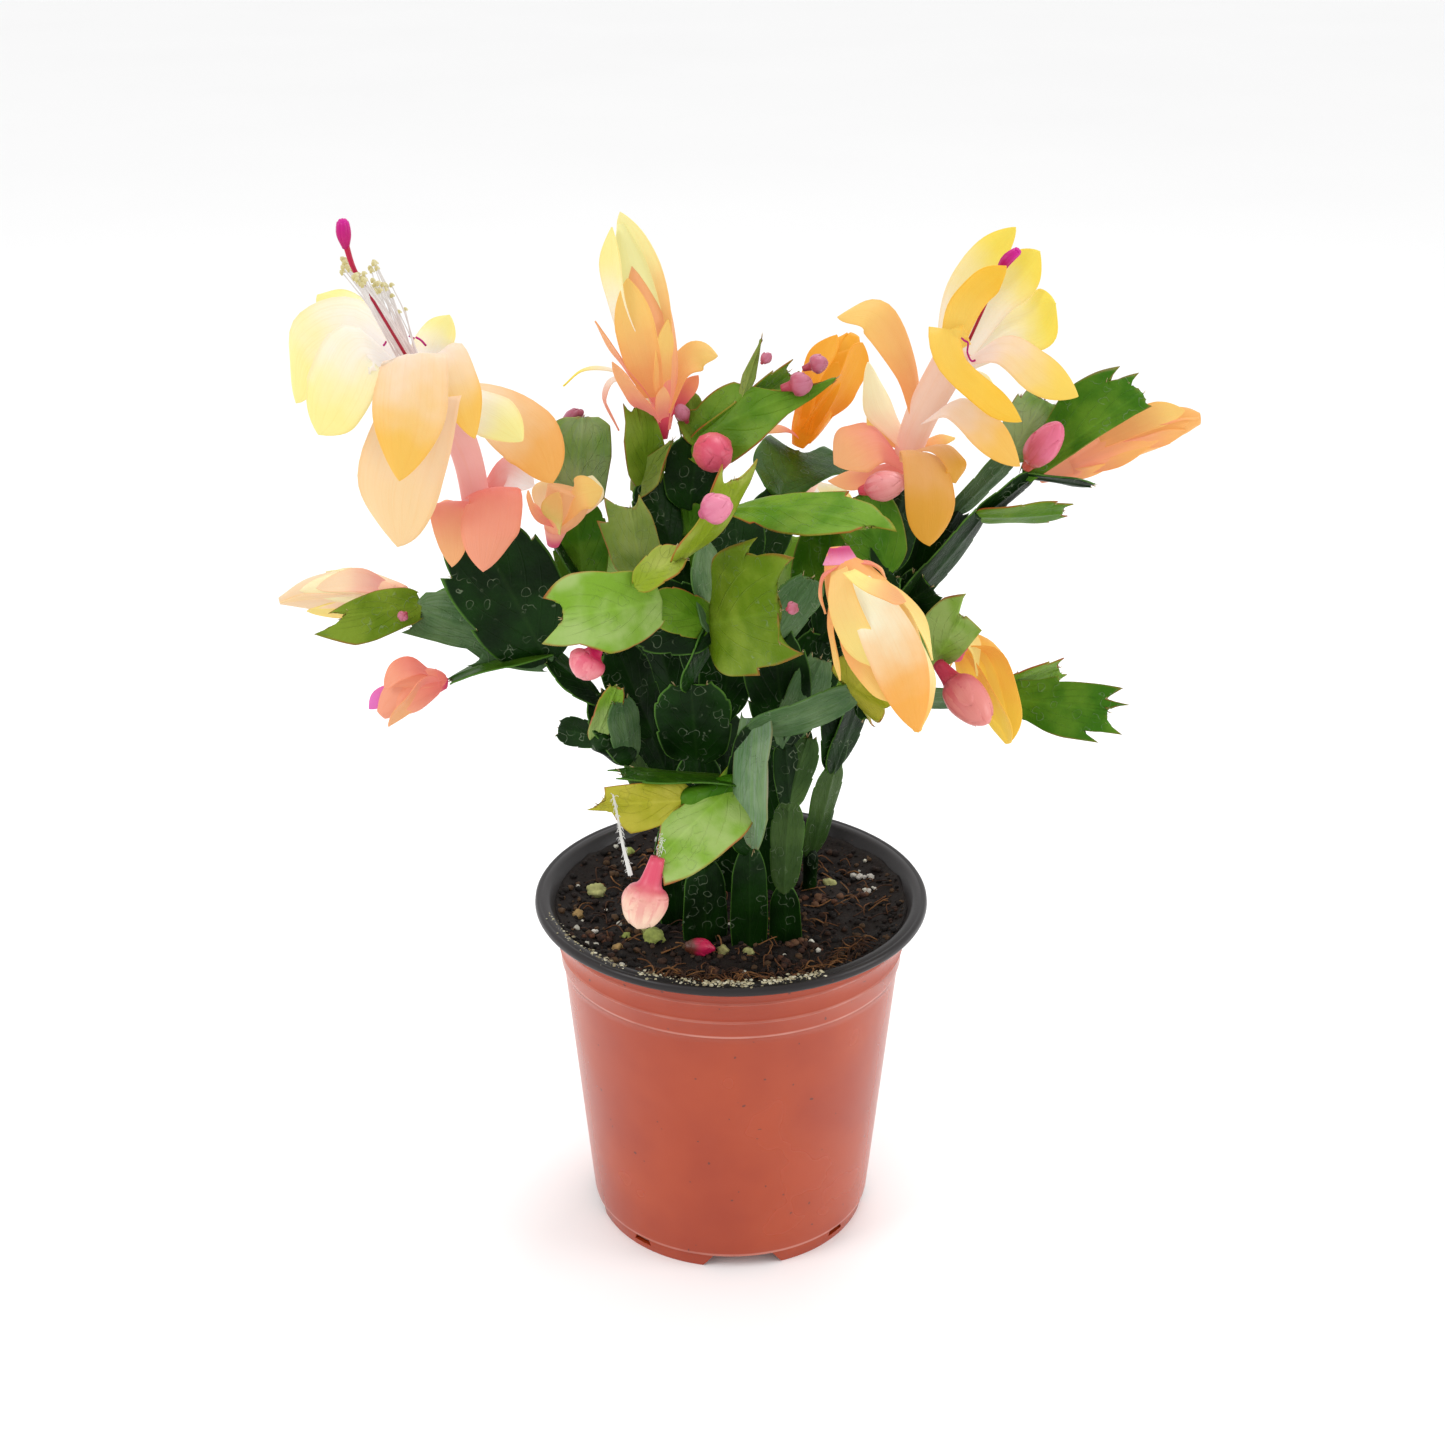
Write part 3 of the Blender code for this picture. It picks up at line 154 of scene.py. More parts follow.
class Wire:
    """A node's output that takes part in sums."""

    def __init__(self, finish, socket):
        self.finish = finish
        self.socket = socket

    def sum(self, operation, first, second):
        plain = [not isinstance(side, Wire) or side.socket.type == "VALUE" for side in (first, second)]
        if all(plain) and not any(isinstance(side, tuple) for side in (first, second)):
            return self.finish.node("ShaderNodeMath", {"operation": operation}, {0: first, 1: second})
        sides = [(side,) * 3 if isinstance(side, (int, float)) else side for side in (first, second)]
        return self.finish.node("ShaderNodeVectorMath", {"operation": operation}, dict(enumerate(sides)))

    def __add__(self, other):
        return self.sum("ADD", self, other)

    def __radd__(self, other):
        return self.sum("ADD", other, self)

    def __sub__(self, other):
        return self.sum("SUBTRACT", self, other)

    def __rsub__(self, other):
        return self.sum("SUBTRACT", other, self)

    def __mul__(self, other):
        return self.sum("MULTIPLY", self, other)

    def __abs__(self):
        return self.finish.node("ShaderNodeMath", {"operation": "ABSOLUTE"}, {0: self})

    def fade(self, low, high):
        """0 up to low, 1 from high on, and smooth between them."""
        steps = {"interpolation_type": "SMOOTHSTEP"}
        span = {"Value": self, "From Min": low, "From Max": high}
        return self.finish.node("ShaderNodeMapRange", steps, span)

    def blend(self, first, second):
        """The first colour where this value is 0, the second where it is 1."""
        return self.finish.node("ShaderNodeMix", {"data_type": "RGBA"}, {0: self, 6: first, 7: second}, 2)


class Finish:
    """A material, whose nodes all come from node()."""

    def __init__(self, name, **constants):
        self.material = bpy.data.materials.new(name)
        self.material.use_nodes = True
        self.tree = self.material.node_tree
        self.shader = self.tree.nodes["Principled BSDF"]
        for socket, value in constants.items():
            self.feed(self.shader.inputs[socket.replace("_", " ")], value)

    def feed(self, socket, value):
        if isinstance(value, Wire):
            self.tree.links.new(value.socket, socket)
        elif isinstance(value, tuple) and socket.type == "RGBA":
            socket.default_value = (*value, 1.0)
        else:
            socket.default_value = value

    def node(self, kind, settings=None, inputs=None, output=0):
        made = self.tree.nodes.new(kind)
        for name, value in (settings or {}).items():
            setattr(made, name, value)
        for socket, value in (inputs or {}).items():
            self.feed(made.inputs[socket], value)
        return Wire(self, made.outputs[output])

    def mark(self, name):
        """The three parts of a mark that the mesh carries."""
        stored = self.node("ShaderNodeAttribute", {"attribute_name": name}, output="Vector")
        parts = self.node("ShaderNodeSeparateXYZ", inputs={0: stored})
        return [Wire(self, part) for part in parts.socket.node.outputs]

    def carried(self, name):
        """A colour that the mesh carries."""
        return self.node("ShaderNodeAttribute", {"attribute_name": name}, output="Color")

    def spot(self):
        return self.node("ShaderNodeTexCoord", output="Object")

    def vector(self, *parts):
        return self.node("ShaderNodeCombineXYZ", None, dict(enumerate(parts)))

    def noise(self, place, scale, detail=2.0, output=0):
        inputs = {"Vector": place, "Scale": scale, "Detail": detail}
        return self.node("ShaderNodeTexNoise", None, inputs, output)

    def wear(self, **varying):
        """Links what changes over the surface, and gives back the material."""
        for socket, value in varying.items():
            self.feed(self.shader.inputs[socket.replace("_", " ")], value)
        return self.material

    def relief(self, height, strength, depth):
        return self.node("ShaderNodeBump", None, {"Height": height, "Strength": strength, "Distance": depth})


# %% The floor
def as_object(bm, name, *materials):
    mesh = bpy.data.meshes.new(name)
    bm.to_mesh(mesh)
    bm.free()
    for each in materials:
        mesh.materials.append(each)
    return bpy.data.objects.new(name, mesh)


floor_finish = Finish("floor_white", Roughness=0.9, Specular_IOR_Level=0.1)
floor_shade = floor_finish.noise(floor_finish.spot(), 3.0).blend((0.93, 0.93, 0.93), (0.96, 0.96, 0.96))
bm = bmesh.new()
bmesh.ops.create_grid(bm, x_segments=1, y_segments=1, size=12.0)
floor = as_object(bm, "floor", floor_finish.wear(Base_Color=floor_shade))
bpy.context.scene.collection.objects.link(floor)
print("floor laid")

# %% [markdown]
# ## Sheets and spindles
# A leaf segment and a petal are both thin blades, so one helper lays a grid by a rule, gives it a thickness
# to each side and closes its rim. A bud, a flower tube, a style and a fibre are all round bodies along a
# curve, and the other helper draws a ball out along such a curve. Each vertex carries marks that the
# finishes read.


# %% Curves
def curve_point(points, share):
    """A point on the smooth curve through the points."""
    spans = len(points) - 1
    index = min(int(share * spans), spans - 1)
    t = share * spans - index
    p1, p2 = points[index], points[index + 1]
    p0 = points[index - 1] if index else p1 * 2 - p2
    p3 = points[index + 2] if index + 2 <= spans else p2 * 2 - p1
    a, b = p2 - p0, p0 * 2 - p1 * 5 + p2 * 4 - p3
    c = p1 * 3 - p0 - p2 * 3 + p3
    return p1 + (a * t + b * t * t + c * t * t * t) * 0.5


def new_body():
    """An empty bmesh with its marks: place is (across, along, draw), and root and tip are colours."""
    bm = bmesh.new()
    for name in ("place", "root", "tip", "half"):
        bm.verts.layers.float_vector.new(name)
    return bm


def set_marks(bm, vert, across, along, marks):
    draw, root, tip = marks
    layers = bm.verts.layers.float_vector
    vert[layers["place"]] = (across, along, draw)
    vert[layers["root"]] = root
    vert[layers["tip"]] = tip


def finish_piece(bm, name, node, slot, *materials):
    """The body in millimetres as a piece of the model, in place of its plain solid."""
    if "half" in bm.verts.layers.float_vector:
        bm.verts.layers.float_vector.remove(bm.verts.layers.float_vector["half"])
    bmesh.ops.recalc_face_normals(bm, faces=bm.faces[:])
    bmesh.ops.transform(bm, matrix=TO_MODEL, verts=bm.verts[:])
    piece = as_object(bm, name, *materials)
    piece.data.shade_smooth()
    bpy.context.scene.collection.objects.link(piece)
    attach(piece, "root")
    if node:
        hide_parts(node)
    print(name, len(piece.data.polygons), "faces")
    return piece


# %% A closed blade
def sheet(bm, rows, columns, lay, thickness, marks):
    """A grid laid by lay(row, across), with its thickness half to each face, closed round the rim."""
    strips = len(columns) - 1
    made = bmesh.ops.create_grid(bm, x_segments=strips, y_segments=rows, size=1.0)["verts"]
    half = bm.verts.layers.float_vector["half"]
    faces = list({face for vert in made for face in vert.link_faces})
    across_of = {}
    for vert in made:
        row = round((vert.co.y + 1.0) / 2.0 * rows)
        across_of[vert] = columns[round((vert.co.x + 1.0) / 2.0 * strips)]
        set_marks(bm, vert, across_of[vert], row / rows, marks)
        vert.co = lay(row, across_of[vert])
    for face in faces:
        face.normal_update()
    for vert in made:
        vert.normal_update()
        vert[half] = vert.normal * thickness(abs(across_of[vert])) / 2.0
    grown = bmesh.ops.extrude_face_region(bm, geom=faces, use_keep_orig=True)["geom"]
    for vert in made:
        vert.co += vert[half]
    for vert in (item for item in grown if isinstance(item, bmesh.types.BMVert)):
        vert.co -= vert[half]


# %% A round body along a curve
class Spine:
    """The smooth line through stations, each a centre and a radius, with a steady turn round it."""

    def __init__(self, stations, steps=20):
        line = [Vector((*centre, radius)) for centre, radius in stations]
        samples = [curve_point(line, step / steps) for step in range(steps + 1)]
        turn = Vector((0.0, 0.0, 1.0)).rotation_difference(samples[1].xyz - samples[0].xyz)
        self.frames = []
        for index, sample in enumerate(samples):
            behind, ahead = samples[max(index - 1, 0)], samples[min(index + 1, steps)]
            heading = turn @ Vector((0.0, 0.0, 1.0))
            turn = heading.rotation_difference(ahead.xyz - behind.xyz) @ turn
            self.frames.append((sample.xyz, max(sample.w, 0.03), turn.copy()))

    def surface(self, share, angle, lift=0.0):
        reach = min(max(share, 0.0), 1.0) * (len(self.frames) - 1)
        index = min(int(reach), len(self.frames) - 2)
        (centre, radius, turn), (centre2, radius2, turn2) = self.frames[index:index + 2]
        t = reach - index
        size = radius + (radius2 - radius) * t + lift
        return centre.lerp(centre2, t) + turn.slerp(turn2, t) @ Vector(
            (math.cos(angle) * size, math.sin(angle) * size, 0.0)
        )


def spindle(bm, stations, sides, rings, marks, steps=20):
    """A ball drawn out along the stations. Its poles close the two ends."""
    spine = Spine(stations, steps)
    made = bmesh.ops.create_uvsphere(bm, u_segments=sides, v_segments=rings, radius=1.0)["verts"]
    for vert in made:
        ring = round(math.acos(max(min(-vert.co.z, 1.0), -1.0)) / math.pi * rings)
        share = min(max(ring - 1, 0) / (rings - 2), 1.0)
        angle = math.atan2(vert.co.y, vert.co.x)
        at_pole = ring in (0, rings)
        set_marks(bm, vert, angle / math.pi, share, marks)
        foot = spine.surface(share, 0.0)
        vert.co = foot.lerp(spine.surface(share, math.pi), 0.5) if at_pole else spine.surface(share, angle)
    return spine


def scale_leaf(bm, spine, low, high, angle, spread, marks, lift=0.25, flare=0.8, rows=8):
    """A scale that hugs a spindle between two shares of its length, broad below and pointed at its tip."""

    def lay(row, across):
        along = row / rows
        width = spread * (0.75 + 0.25 * math.sin(along * math.pi)) * (1.0 - along ** 3.0) ** 0.8
        rise = lift + flare * along ** 3.0 - 0.25 * abs(across)
        return spine.surface(low + (high - low) * along, angle + across * width, rise)

    sheet(bm, rows, (-1.0, -0.6, 0.0, 0.6, 1.0), lay, lambda across: 0.3 - 0.15 * across, marks)


print("helpers ready")

# %% [markdown]
# ## The finish of the segments
# Young segments are bright green with a thin red margin. Old ones are dark, with a pale margin and pale
# rings, partly the marks that dried drops of hard water leave and partly painted glints on the rims of water
# drops. Each vertex carries how far across and along its segment it is, so the rib, the side veins and the
# margin follow the leaf. Its root mark holds how old, how yellow and how grey it is, and the grey paints a
# dusty bloom together with a painted sheen. Close to the soil the green is darkened by painted shade.


# %% Segment green
# Painted shade: the share of its green that a segment keeps at the soil.
SHADE_NEAR_SOIL = 0.55


def segment_finish():
    made = Finish("segment_green", Specular_IOR_Level=0.1)
    spot = made.spot()
    across, along, draw = made.mark("place")
    age, yellow, grey = made.mark("root")
    side = abs(across)
    cloud = made.noise(spot, 90.0, 3.0)

    def clouded(edge, dark, light):
        return cloud.fade(edge, 1.0 - edge).blend(colour(dark), colour(light))

    young = clouded(0.35, "9ccf40", "c8e888")
    gold = clouded(0.35, "bec024", "e0d84c")
    old = clouded(0.3, "0c2806", "1b440d")
    fresh = clouded(0.35, "4f9410", "7cb52c")
    # The grey-green paints a dusty bloom together with a painted sheen, in streaks along the segment.
    dust_and_sheen = clouded(0.3, "85a882", "b3cbb0")
    green = age.fade(0.0, 0.35).blend(yellow.blend(young, gold), yellow.blend(fresh, gold * 0.75))
    green = age.fade(0.35, 1.0).blend(green, old)
    streak = made.noise(made.vector(across * 9.0, along * 1.6, draw * 31.0), 2.0, 3.0).fade(0.35, 0.7)
    green = (grey * (streak * 0.5 + 0.6)).blend(green, dust_and_sheen)
    rib = 1.0 - side.fade(0.0, 0.08)
    veins = made.node("ShaderNodeMath", {"operation": "PINGPONG"}, {0: along * 5.0 - side * 2.4, 1: 0.5})
    vein = (1.0 - veins.fade(0.0, 0.07)) * side.fade(0.04, 0.2) * (1.0 - side.fade(0.6, 0.85))
    green = (rib * 0.25 + vein * 0.1).blend(green, green * 1.3 + (0.02, 0.035, 0.01))
    # Pale rings: partly dried hard-water marks, partly painted glints on the rims of water drops.
    wobble = spot + (made.noise(spot, 420.0, 1.0, "Color") - 0.5) * 0.0022
    rings = made.node("ShaderNodeTexVoronoi", None, {"Vector": wobble, "Scale": 270.0}, "Distance")
    arcs = made.noise(spot, 420.0, 1.0).fade(0.3, 0.5) * made.noise(spot, 110.0).fade(0.46, 0.58)
    ring = rings.fade(0.33, 0.37) * (1.0 - rings.fade(0.37, 0.41)) * arcs
    green = (ring * (age * 0.45 + 0.05)).blend(green, colour("b4c8a4"))
    margin = side.fade(0.95, 1.0)
    warm = made.noise(spot, 130.0, 1.0).fade(0.35, 0.6)
    rim = age.fade(0.35, 0.75).blend(warm.blend(colour("c9a03c"), colour("cf5f34")), colour("6aa23c"))
    green = (margin * (1.0 - grey * 0.8) * (warm * 0.35 + 0.5)).blend(green, rim)
    ends = along.fade(0.93, 1.0) * side.fade(0.2, 0.9) * (1.0 - age)
    green = (ends * 0.5).blend(green, colour("c98a5a"))
    # Painted shade: the green darkens close to the soil, where the stems stand in shade.
    height = made.node("ShaderNodeSeparateXYZ", inputs={0: spot}, output=2)
    green = (1.0 - height.fade(0.092, 0.13) * (1.0 - SHADE_NEAR_SOIL)).blend(green, green * SHADE_NEAR_SOIL)
    bumps = made.noise(spot, 1400.0, 2.0) * 0.4 + vein * 0.5 + made.noise(spot, 210.0) * 1.2 + ring * 0.5
    gloss = 0.28 + made.noise(spot, 220.0) * 0.25 + grey * 0.15
    return made.wear(Base_Color=green, Roughness=gloss, Normal=made.relief(bumps, 0.6, 0.0005))


SEGMENT_GREEN = segment_finish()
print("finish:", SEGMENT_GREEN.name)

# %% [markdown]
# ## The leafy stems
# A stem is a chain of flat segments. The joints are the same ones that the solids were built on, so every
# segment lies on its solid.

# %% Where segments meet
ROOTS = {
    "front_left_root": (-7.0, -19.0), "front_middle_root": (5.0, -20.0), "front_right_root": (15.3, -17.5),
    "right_root": (22.4, 13.7), "left_root": (-15.0, -6.0), "upper_left_root": (-11.0, 8.0),
    "top_root": (0.5, 10.0), "upper_right_root": (11.5, 8.0), "back_left_root": (-8.0, 24.0),
    "back_right_root": (9.0, 27.0),
}
JOINTS = {
    "a1": (-7.5, 109, -17.5), "a2": (-9.5, 141, -16.5), "a3": (-11, 163, -22), "a4": (-5.5, 180, -27),
    "a5": (-21, 186, -39), "a6": (-47, 181, -50), "a7": (-13, 199.5, -41), "a8": (1, 221, -45),
    "a9": (14, 184, -52), "a10": (-7.5, 202, -24), "a11": (-23.5, 191.5, -43), "a12": (-27, 183.5, -30),
    "b1": (5, 113, -20), "b2": (2, 133, -23), "b3": (7, 150, -22), "b4": (-19.5, 110.5, -46),
    "b5": (-14, 127.5, -33), "b6": (-35, 126.5, -44), "b7": (-31, 135.5, -33), "b8": (6.3, 114, -36),
    "b9": (33, 160.5, -28), "b10": (38, 166, -46),
    "c1": (15, 101, -18), "c2": (16, 127, -15.5), "c3": (14.5, 146, -14), "c4": (20.8, 147, -12),
    "c5": (11, 176, -12), "c6": (21, 193, -12), "c7": (24, 170, -10),
    "d1": (22.3, 112, 12), "d2": (28, 138, 10), "d3": (35, 160, 8), "d4": (44, 184, 9),
    "d5": (65, 210.5, 11), "d6": (77.5, 221, 12), "d7": (104, 242, 14), "d8": (53, 190.5, 5),
    "d9": (87, 211.5, 12), "d10": (93.5, 218.5, 13), "d11": (28.5, 159, 4), "d12": (70, 159, 4),
    "d13": (102, 154.5, -6), "d14": (88.5, 167.5, 6), "d15": (55, 169.5, -14), "d16": (62.5, 184, -22),
    "d17": (59, 212, 18), "d18": (72.5, 227, 20), "d19": (80, 241.5, 22), "d20": (37, 152.5, 2),
    "e1": (-18, 120, -6), "e2": (-28, 141, -4), "e3": (-37, 159, -4), "e4": (-50, 170.5, -8),
    "e5": (-66, 205, -12), "e6": (-84.5, 184.5, -8), "e7": (-106, 181, -12), "e8": (-76, 163.5, -16),
    "e9": (-30, 158, -12), "e10": (-37, 147, -6), "e11": (-31, 162, -14), "e12": (-47, 149.5, 0),
    "f1": (-13, 122, 8), "f2": (-22, 149, 6), "f3": (-31, 173, 3), "f4": (-39, 191, 2),
    "f5": (-40.5, 214, 6), "f6": (-38, 237, 10), "f7": (-46.5, 202.5, -3), "f8": (-24, 196, -14),
    "f9": (-26.5, 212.5, -19), "f10": (-58, 237, 10),
    "g1": (0, 123, 10), "g2": (-3, 153, 8), "g3": (-8, 181, 5), "g4": (-16.5, 203, 1),
    "g5": (-22, 220.5, 1), "g6": (-25, 241, 2), "g7": (2, 187, -4), "g8": (0.5, 211, -14),
    "g9": (35, 207, -46), "g10": (-11, 214, 4), "g11": (-9, 231, 6), "g12": (19.5, 244, 2),
    "g13": (-12, 243, 12), "g14": (12.5, 216, 4), "g15": (17, 227.5, 29), "g16": (15, 249, 10),
    "g17": (3, 243, 5), "g18": (7.5, 257, 5), "g19": (-15.4, 230.3, -2), "g20": (-23.8, 217.5, 0),
    "h1": (12.5, 123, 9), "h2": (17.5, 151, 8), "h3": (25, 177, 6), "h4": (41, 196, 3),
    "h5": (44.5, 219.5, 7), "h6": (33, 216.3, 0),
    "i1": (-9, 128, 26), "i2": (-14, 156, 30), "i3": (-22, 184, 34), "i4": (-30, 210, 38),
    "i5": (-34, 176, 42), "i6": (-8, 190, 44), "i7": (-4, 212, 50),
    "k1": (10, 128, 29), "k2": (15, 158, 32), "k3": (22, 186, 34), "k4": (30, 210, 36), "k5": (6, 182, 46),
    "k6": (38, 180, 44), "k7": (14, 206, 52),
}


def joint(name):
    if name in ROOTS:
        return Vector((*ROOTS[name], SOIL_TOP - SLOT_DEPTH))
    return at(*JOINTS[name])


print("joints:", len(JOINTS) + len(ROOTS))

# %% Each leafy stem: from, to, width, roll, outline, and bow and fold where it has them
STEMS = {
    "stem_front_left": (
        ("front_left_root", "a1", 12.5, 10, "rooted"), ("a1", "a2", 14, 10, "plain"),
        ("a2", "a3", 20, 0, "plain", 0.02, 0.1), ("a3", "a4", 15, 72, "plain"),
        ("a4", "a5", 11, 0, "plain", 0.03, 0), ("a5", "a6", 19, 0, "toothed", 0.05, 0.1),
        ("a4", "a12", 19, 0, "plain", 0.02, 0.05), ("a11", "a7", 10, -30, "plain", 0, 0.4),
        ("a7", "a8", 16, 66, "toothed", 0.06, 0), ("a4", "a9", 27, 0, "toothed", 0.05, 0.08),
        ("a4", "a10", 13, 58, "plain"),
    ),
    "stem_front_middle": (
        ("front_middle_root", "b1", 10.5, 10, "rooted"), ("b1", "b2", 11, 20, "plain"),
        ("b2", "b3", 9, 15, "plain"), ("b2", "b4", 18, 10, "toothed", 0.06, 0.1),
        ("b2", "b5", 7, 0, "stalk"), ("b5", "b6", 12.5, 0, "toothed", 0.05, 0),
        ("b2", "b7", 13, 76, "toothed", 0.02, 0), ("b3", "b8", 13, 40, "toothed", 0.03, 0.2),
        ("b3", "b9", 14, 55, "plain", 0.04, 0.1), ("b9", "b10", 17, 0, "toothed", 0.03, 0),
    ),
    "stem_front_right": (
        ("front_right_root", "c1", 9, 0, "rooted"), ("c1", "c2", 9, 0, "plain"),
        ("c2", "c3", 7.5, 15, "rooted"), ("c2", "c4", 9, 10, "plain"),
        ("c3", "c5", 17, 10, "toothed", 0.02, 0.1), ("c5", "c6", 14, 40, "plain", 0.02, 0),
        ("c3", "c7", 12, 30, "plain", 0.03, 0),
    ),
    "stem_right": (
        ("right_root", "d1", 5, 0, "stalk"), ("d1", "d2", 11, 50, "plain"),
        ("d2", "d3", 11, 55, "plain", 0, 0.1), ("d3", "d4", 17, 20, "plain", 0.02, 0),
        ("d4", "d5", 14, 65, "plain", 0.02, 0), ("d5", "d6", 9, 60, "plain"),
        ("d6", "d7", 21, -20, "toothed", 0.04, 0.1), ("d4", "d8", 13, 0, "toothed"),
        ("d5", "d9", 12, 66, "toothed", 0.02, 0), ("d6", "d10", 7, 75, "plain"),
        ("d2", "d11", 9, 30, "plain"), ("d3", "d20", 6, 20, "plain"),
        ("d3", "d12", 11, 62, "plain", 0.03, 0), ("d12", "d13", 16.5, 0, "toothed", 0.03, 0.1),
        ("d12", "d14", 13, 55, "toothed", 0, 0.2), ("d4", "d15", 12, 40, "plain"),
        ("d15", "d16", 13, 0, "toothed", 0.04, 0), ("d4", "d17", 14, 30, "plain"),
        ("d17", "d18", 9, 50, "plain"), ("d18", "d19", 13, 0, "toothed", 0.03, 0),
    ),
    "stem_left": (
        ("left_root", "e1", 10, 30, "rooted"), ("e1", "e2", 9, 45, "plain"), ("e2", "e3", 12, 35, "plain"),
        ("e3", "e4", 13, 60, "plain"), ("e4", "e5", 27, 0, "toothed", 0.05, 0.1),
        ("e4", "e6", 17, -15, "toothed", 0.02, 0.1), ("e6", "e7", 12, 15, "toothed", 0.04, 0.1),
        ("e4", "e8", 12, 76, "plain", 0.05, 0), ("e2", "e9", 9, 20, "plain"), ("e2", "e10", 8, 20, "stalk"),
        ("e10", "e11", 7, 20, "plain", 0, 0.3), ("e10", "e12", 8, 0, "plain"),
    ),
    "stem_upper_left": (
        ("upper_left_root", "f1", 11, 15, "rooted"), ("f1", "f2", 13, -10, "plain"),
        ("f2", "f3", 14, 15, "plain"), ("f3", "f4", 15, 0, "plain"),
        ("f4", "f5", 15, -10, "plain", 0.02, 0), ("f5", "f6", 15.5, 0, "toothed", 0.03, 0),
        ("f4", "f7", 9, 78, "plain"), ("f3", "f8", 13, 20, "plain"),
        ("f8", "f9", 16, 0, "toothed", 0.04, 0.15), ("f5", "f10", 10, 65, "toothed"),
    ),
    "stem_top": (
        ("top_root", "g1", 12, 0, "rooted"), ("g1", "g2", 15, 15, "plain"), ("g2", "g3", 16, -15, "plain"),
        ("g3", "g4", 15, 35, "plain"), ("g4", "g5", 13, 25, "plain"),
        ("g5", "g6", 11, 15, "toothed", 0.06, 0.3), ("g20", "g19", 9, -25, "toothed", 0, 0.4),
        ("g3", "g10", 14, -25, "plain"), ("g10", "g11", 16, 15, "plain", 0.02, 0),
        ("g11", "g12", 20, -15, "toothed", 0.05, 0.1), ("g11", "g13", 9, 30, "plain"),
        ("g2", "g7", 16, 10, "plain"), ("g7", "g8", 16, 20, "plain"),
        ("g8", "g9", 19, -48, "toothed", 0.05, 0.1), ("g7", "g14", 14, 10, "plain"),
        ("g14", "g15", 25, 0, "toothed", 0.04, 0.1), ("g11", "g16", 9, 58, "toothed", 0.02, 0),
        ("g17", "g18", 3.6, 0, "plain"),
    ),
    "stem_upper_right": (
        ("upper_right_root", "h1", 11, -10, "rooted"), ("h1", "h2", 13, 15, "plain"),
        ("h2", "h3", 15, 0, "plain"), ("h3", "h4", 18, -10, "plain"), ("h4", "h5", 14, 30, "plain"),
        ("h4", "h6", 16, 0, "toothed"),
    ),
    "stem_back_left": (
        ("back_left_root", "i1", 12, 0, "rooted"), ("i1", "i2", 15, 10, "plain"),
        ("i2", "i3", 18, -20, "plain", 0.02, 0), ("i3", "i4", 20, 180, "toothed", 0.04, 0.1),
        ("i2", "i5", 18, 200, "toothed", 0.04, 0.1), ("i2", "i6", 18, 175, "toothed", 0.03, 0.1),
        ("i6", "i7", 17, 190, "toothed", 0.04, 0.1),
    ),
    "stem_back_right": (
        ("back_right_root", "k1", 12, 0, "rooted"), ("k1", "k2", 15, -10, "plain"),
        ("k2", "k3", 18, -10, "plain", 0.02, 0), ("k3", "k4", 20, 190, "toothed", 0.04, 0.1),
        ("k2", "k5", 18, 185, "toothed", 0.04, 0.1), ("k2", "k6", 18, 170, "toothed", 0.03, 0.1),
        ("k5", "k7", 17, 180, "toothed", 0.04, 0.1),
    ),
}
print("segments:", sum(map(len, STEMS.values())))

# %% How old, how yellow and how grey a segment is
# The grey share paints a dusty bloom together with a painted sheen.
TONES = {
    "old": (1.0, 0.0, 0.0), "young": (0.05, 0.0, 0.0), "lit": (0.1, 0.5, 0.0), "fresh": (0.3, 0.1, 0.0),
    "mint": (0.0, 0.0, 0.55), "dull": (0.8, 0.15, 0.1), "yellow": (0.0, 1.0, 0.0),
    "olive": (0.5, 0.35, 0.0), "tan": (0.25, 0.5, 0.25), "middle": (0.55, 0.0, 0.0),
    "deep": (0.75, 0.0, 0.0), "grey": (0.72, 0.0, 0.4), "pale": (0.45, 0.0, 0.85),
}
TONED = {
    "young": "a6 b4 d16 e11 i4 k7 k6",
    "lit": "a7 a8",
    "fresh": "a5 g12 g9 g16 d9 d14",
    "mint": "f6 f10 d19",
    "yellow": "b6 b10",
    "olive": "a9 g6 g13 e7",
    "tan": "f9 g19 g18",
    "middle": "d7 d13 h6 i5 i7 k4 k5 b5 f5 g10",
    "dull": "c2 c4 d2 e2",
    "deep": "b7 e8 g15",
    "grey": "a10 c6 c7 d12 e6 e9 d18 b9",
    "pale": "b8",
}
TONE_OF = {tip: TONES[tone] for tone, tips in TONED.items() for tip in tips.split()}
print("toned segments:", len(TONE_OF))

# %% [markdown]
# ## Segment outlines
# A margin is drawn by its corners, each with how far along the segment it is, how far out in widths, and
# how much the span to it bulges, if it does. A claw is a corner that reaches past the notch behind it. The
# two margins of a segment differ, as on the plant: the right one lies on the right of the direction of
# growth as the eye sees it.

# %% Margins
OLD = ((0.0, 0.12), (0.2, 0.42, 0.05), (0.48, 0.5, 0.01), (0.49, 0.465), (0.8, 0.49, 0.03), (0.81, 0.45),
       (0.98, 0.3, 0.04), (1.02, 0.27), (0.98, 0.2), (0.985, 0.02))
ROOTED = ((0.0, 0.36), (0.45, 0.5, 0.02), (0.8, 0.45), (0.98, 0.26, 0.03), (0.99, 0.02))
CLAWED = ((0.0, 0.1), (0.16, 0.38, 0.05), (0.5, 0.51, 0.03), (0.47, 0.46), (0.88, 0.53, 0.04), (0.84, 0.43),
          (1.06, 0.37, 0.02), (0.96, 0.25), (0.97, 0.02))
SMOOTH = ((0.0, 0.1), (0.2, 0.42, 0.05), (0.7, 0.51, 0.03), (0.86, 0.47), (0.83, 0.41), (0.97, 0.34, 0.02),
          (1.05, 0.31), (0.96, 0.2), (0.97, 0.02))
POINTED = ((0.0, 0.2), (0.4, 0.5, 0.05), (0.75, 0.22), (1.0, 0.01))
MARGINS = {"plain": (OLD, OLD), "rooted": (ROOTED, ROOTED), "toothed": (CLAWED, SMOOTH)}
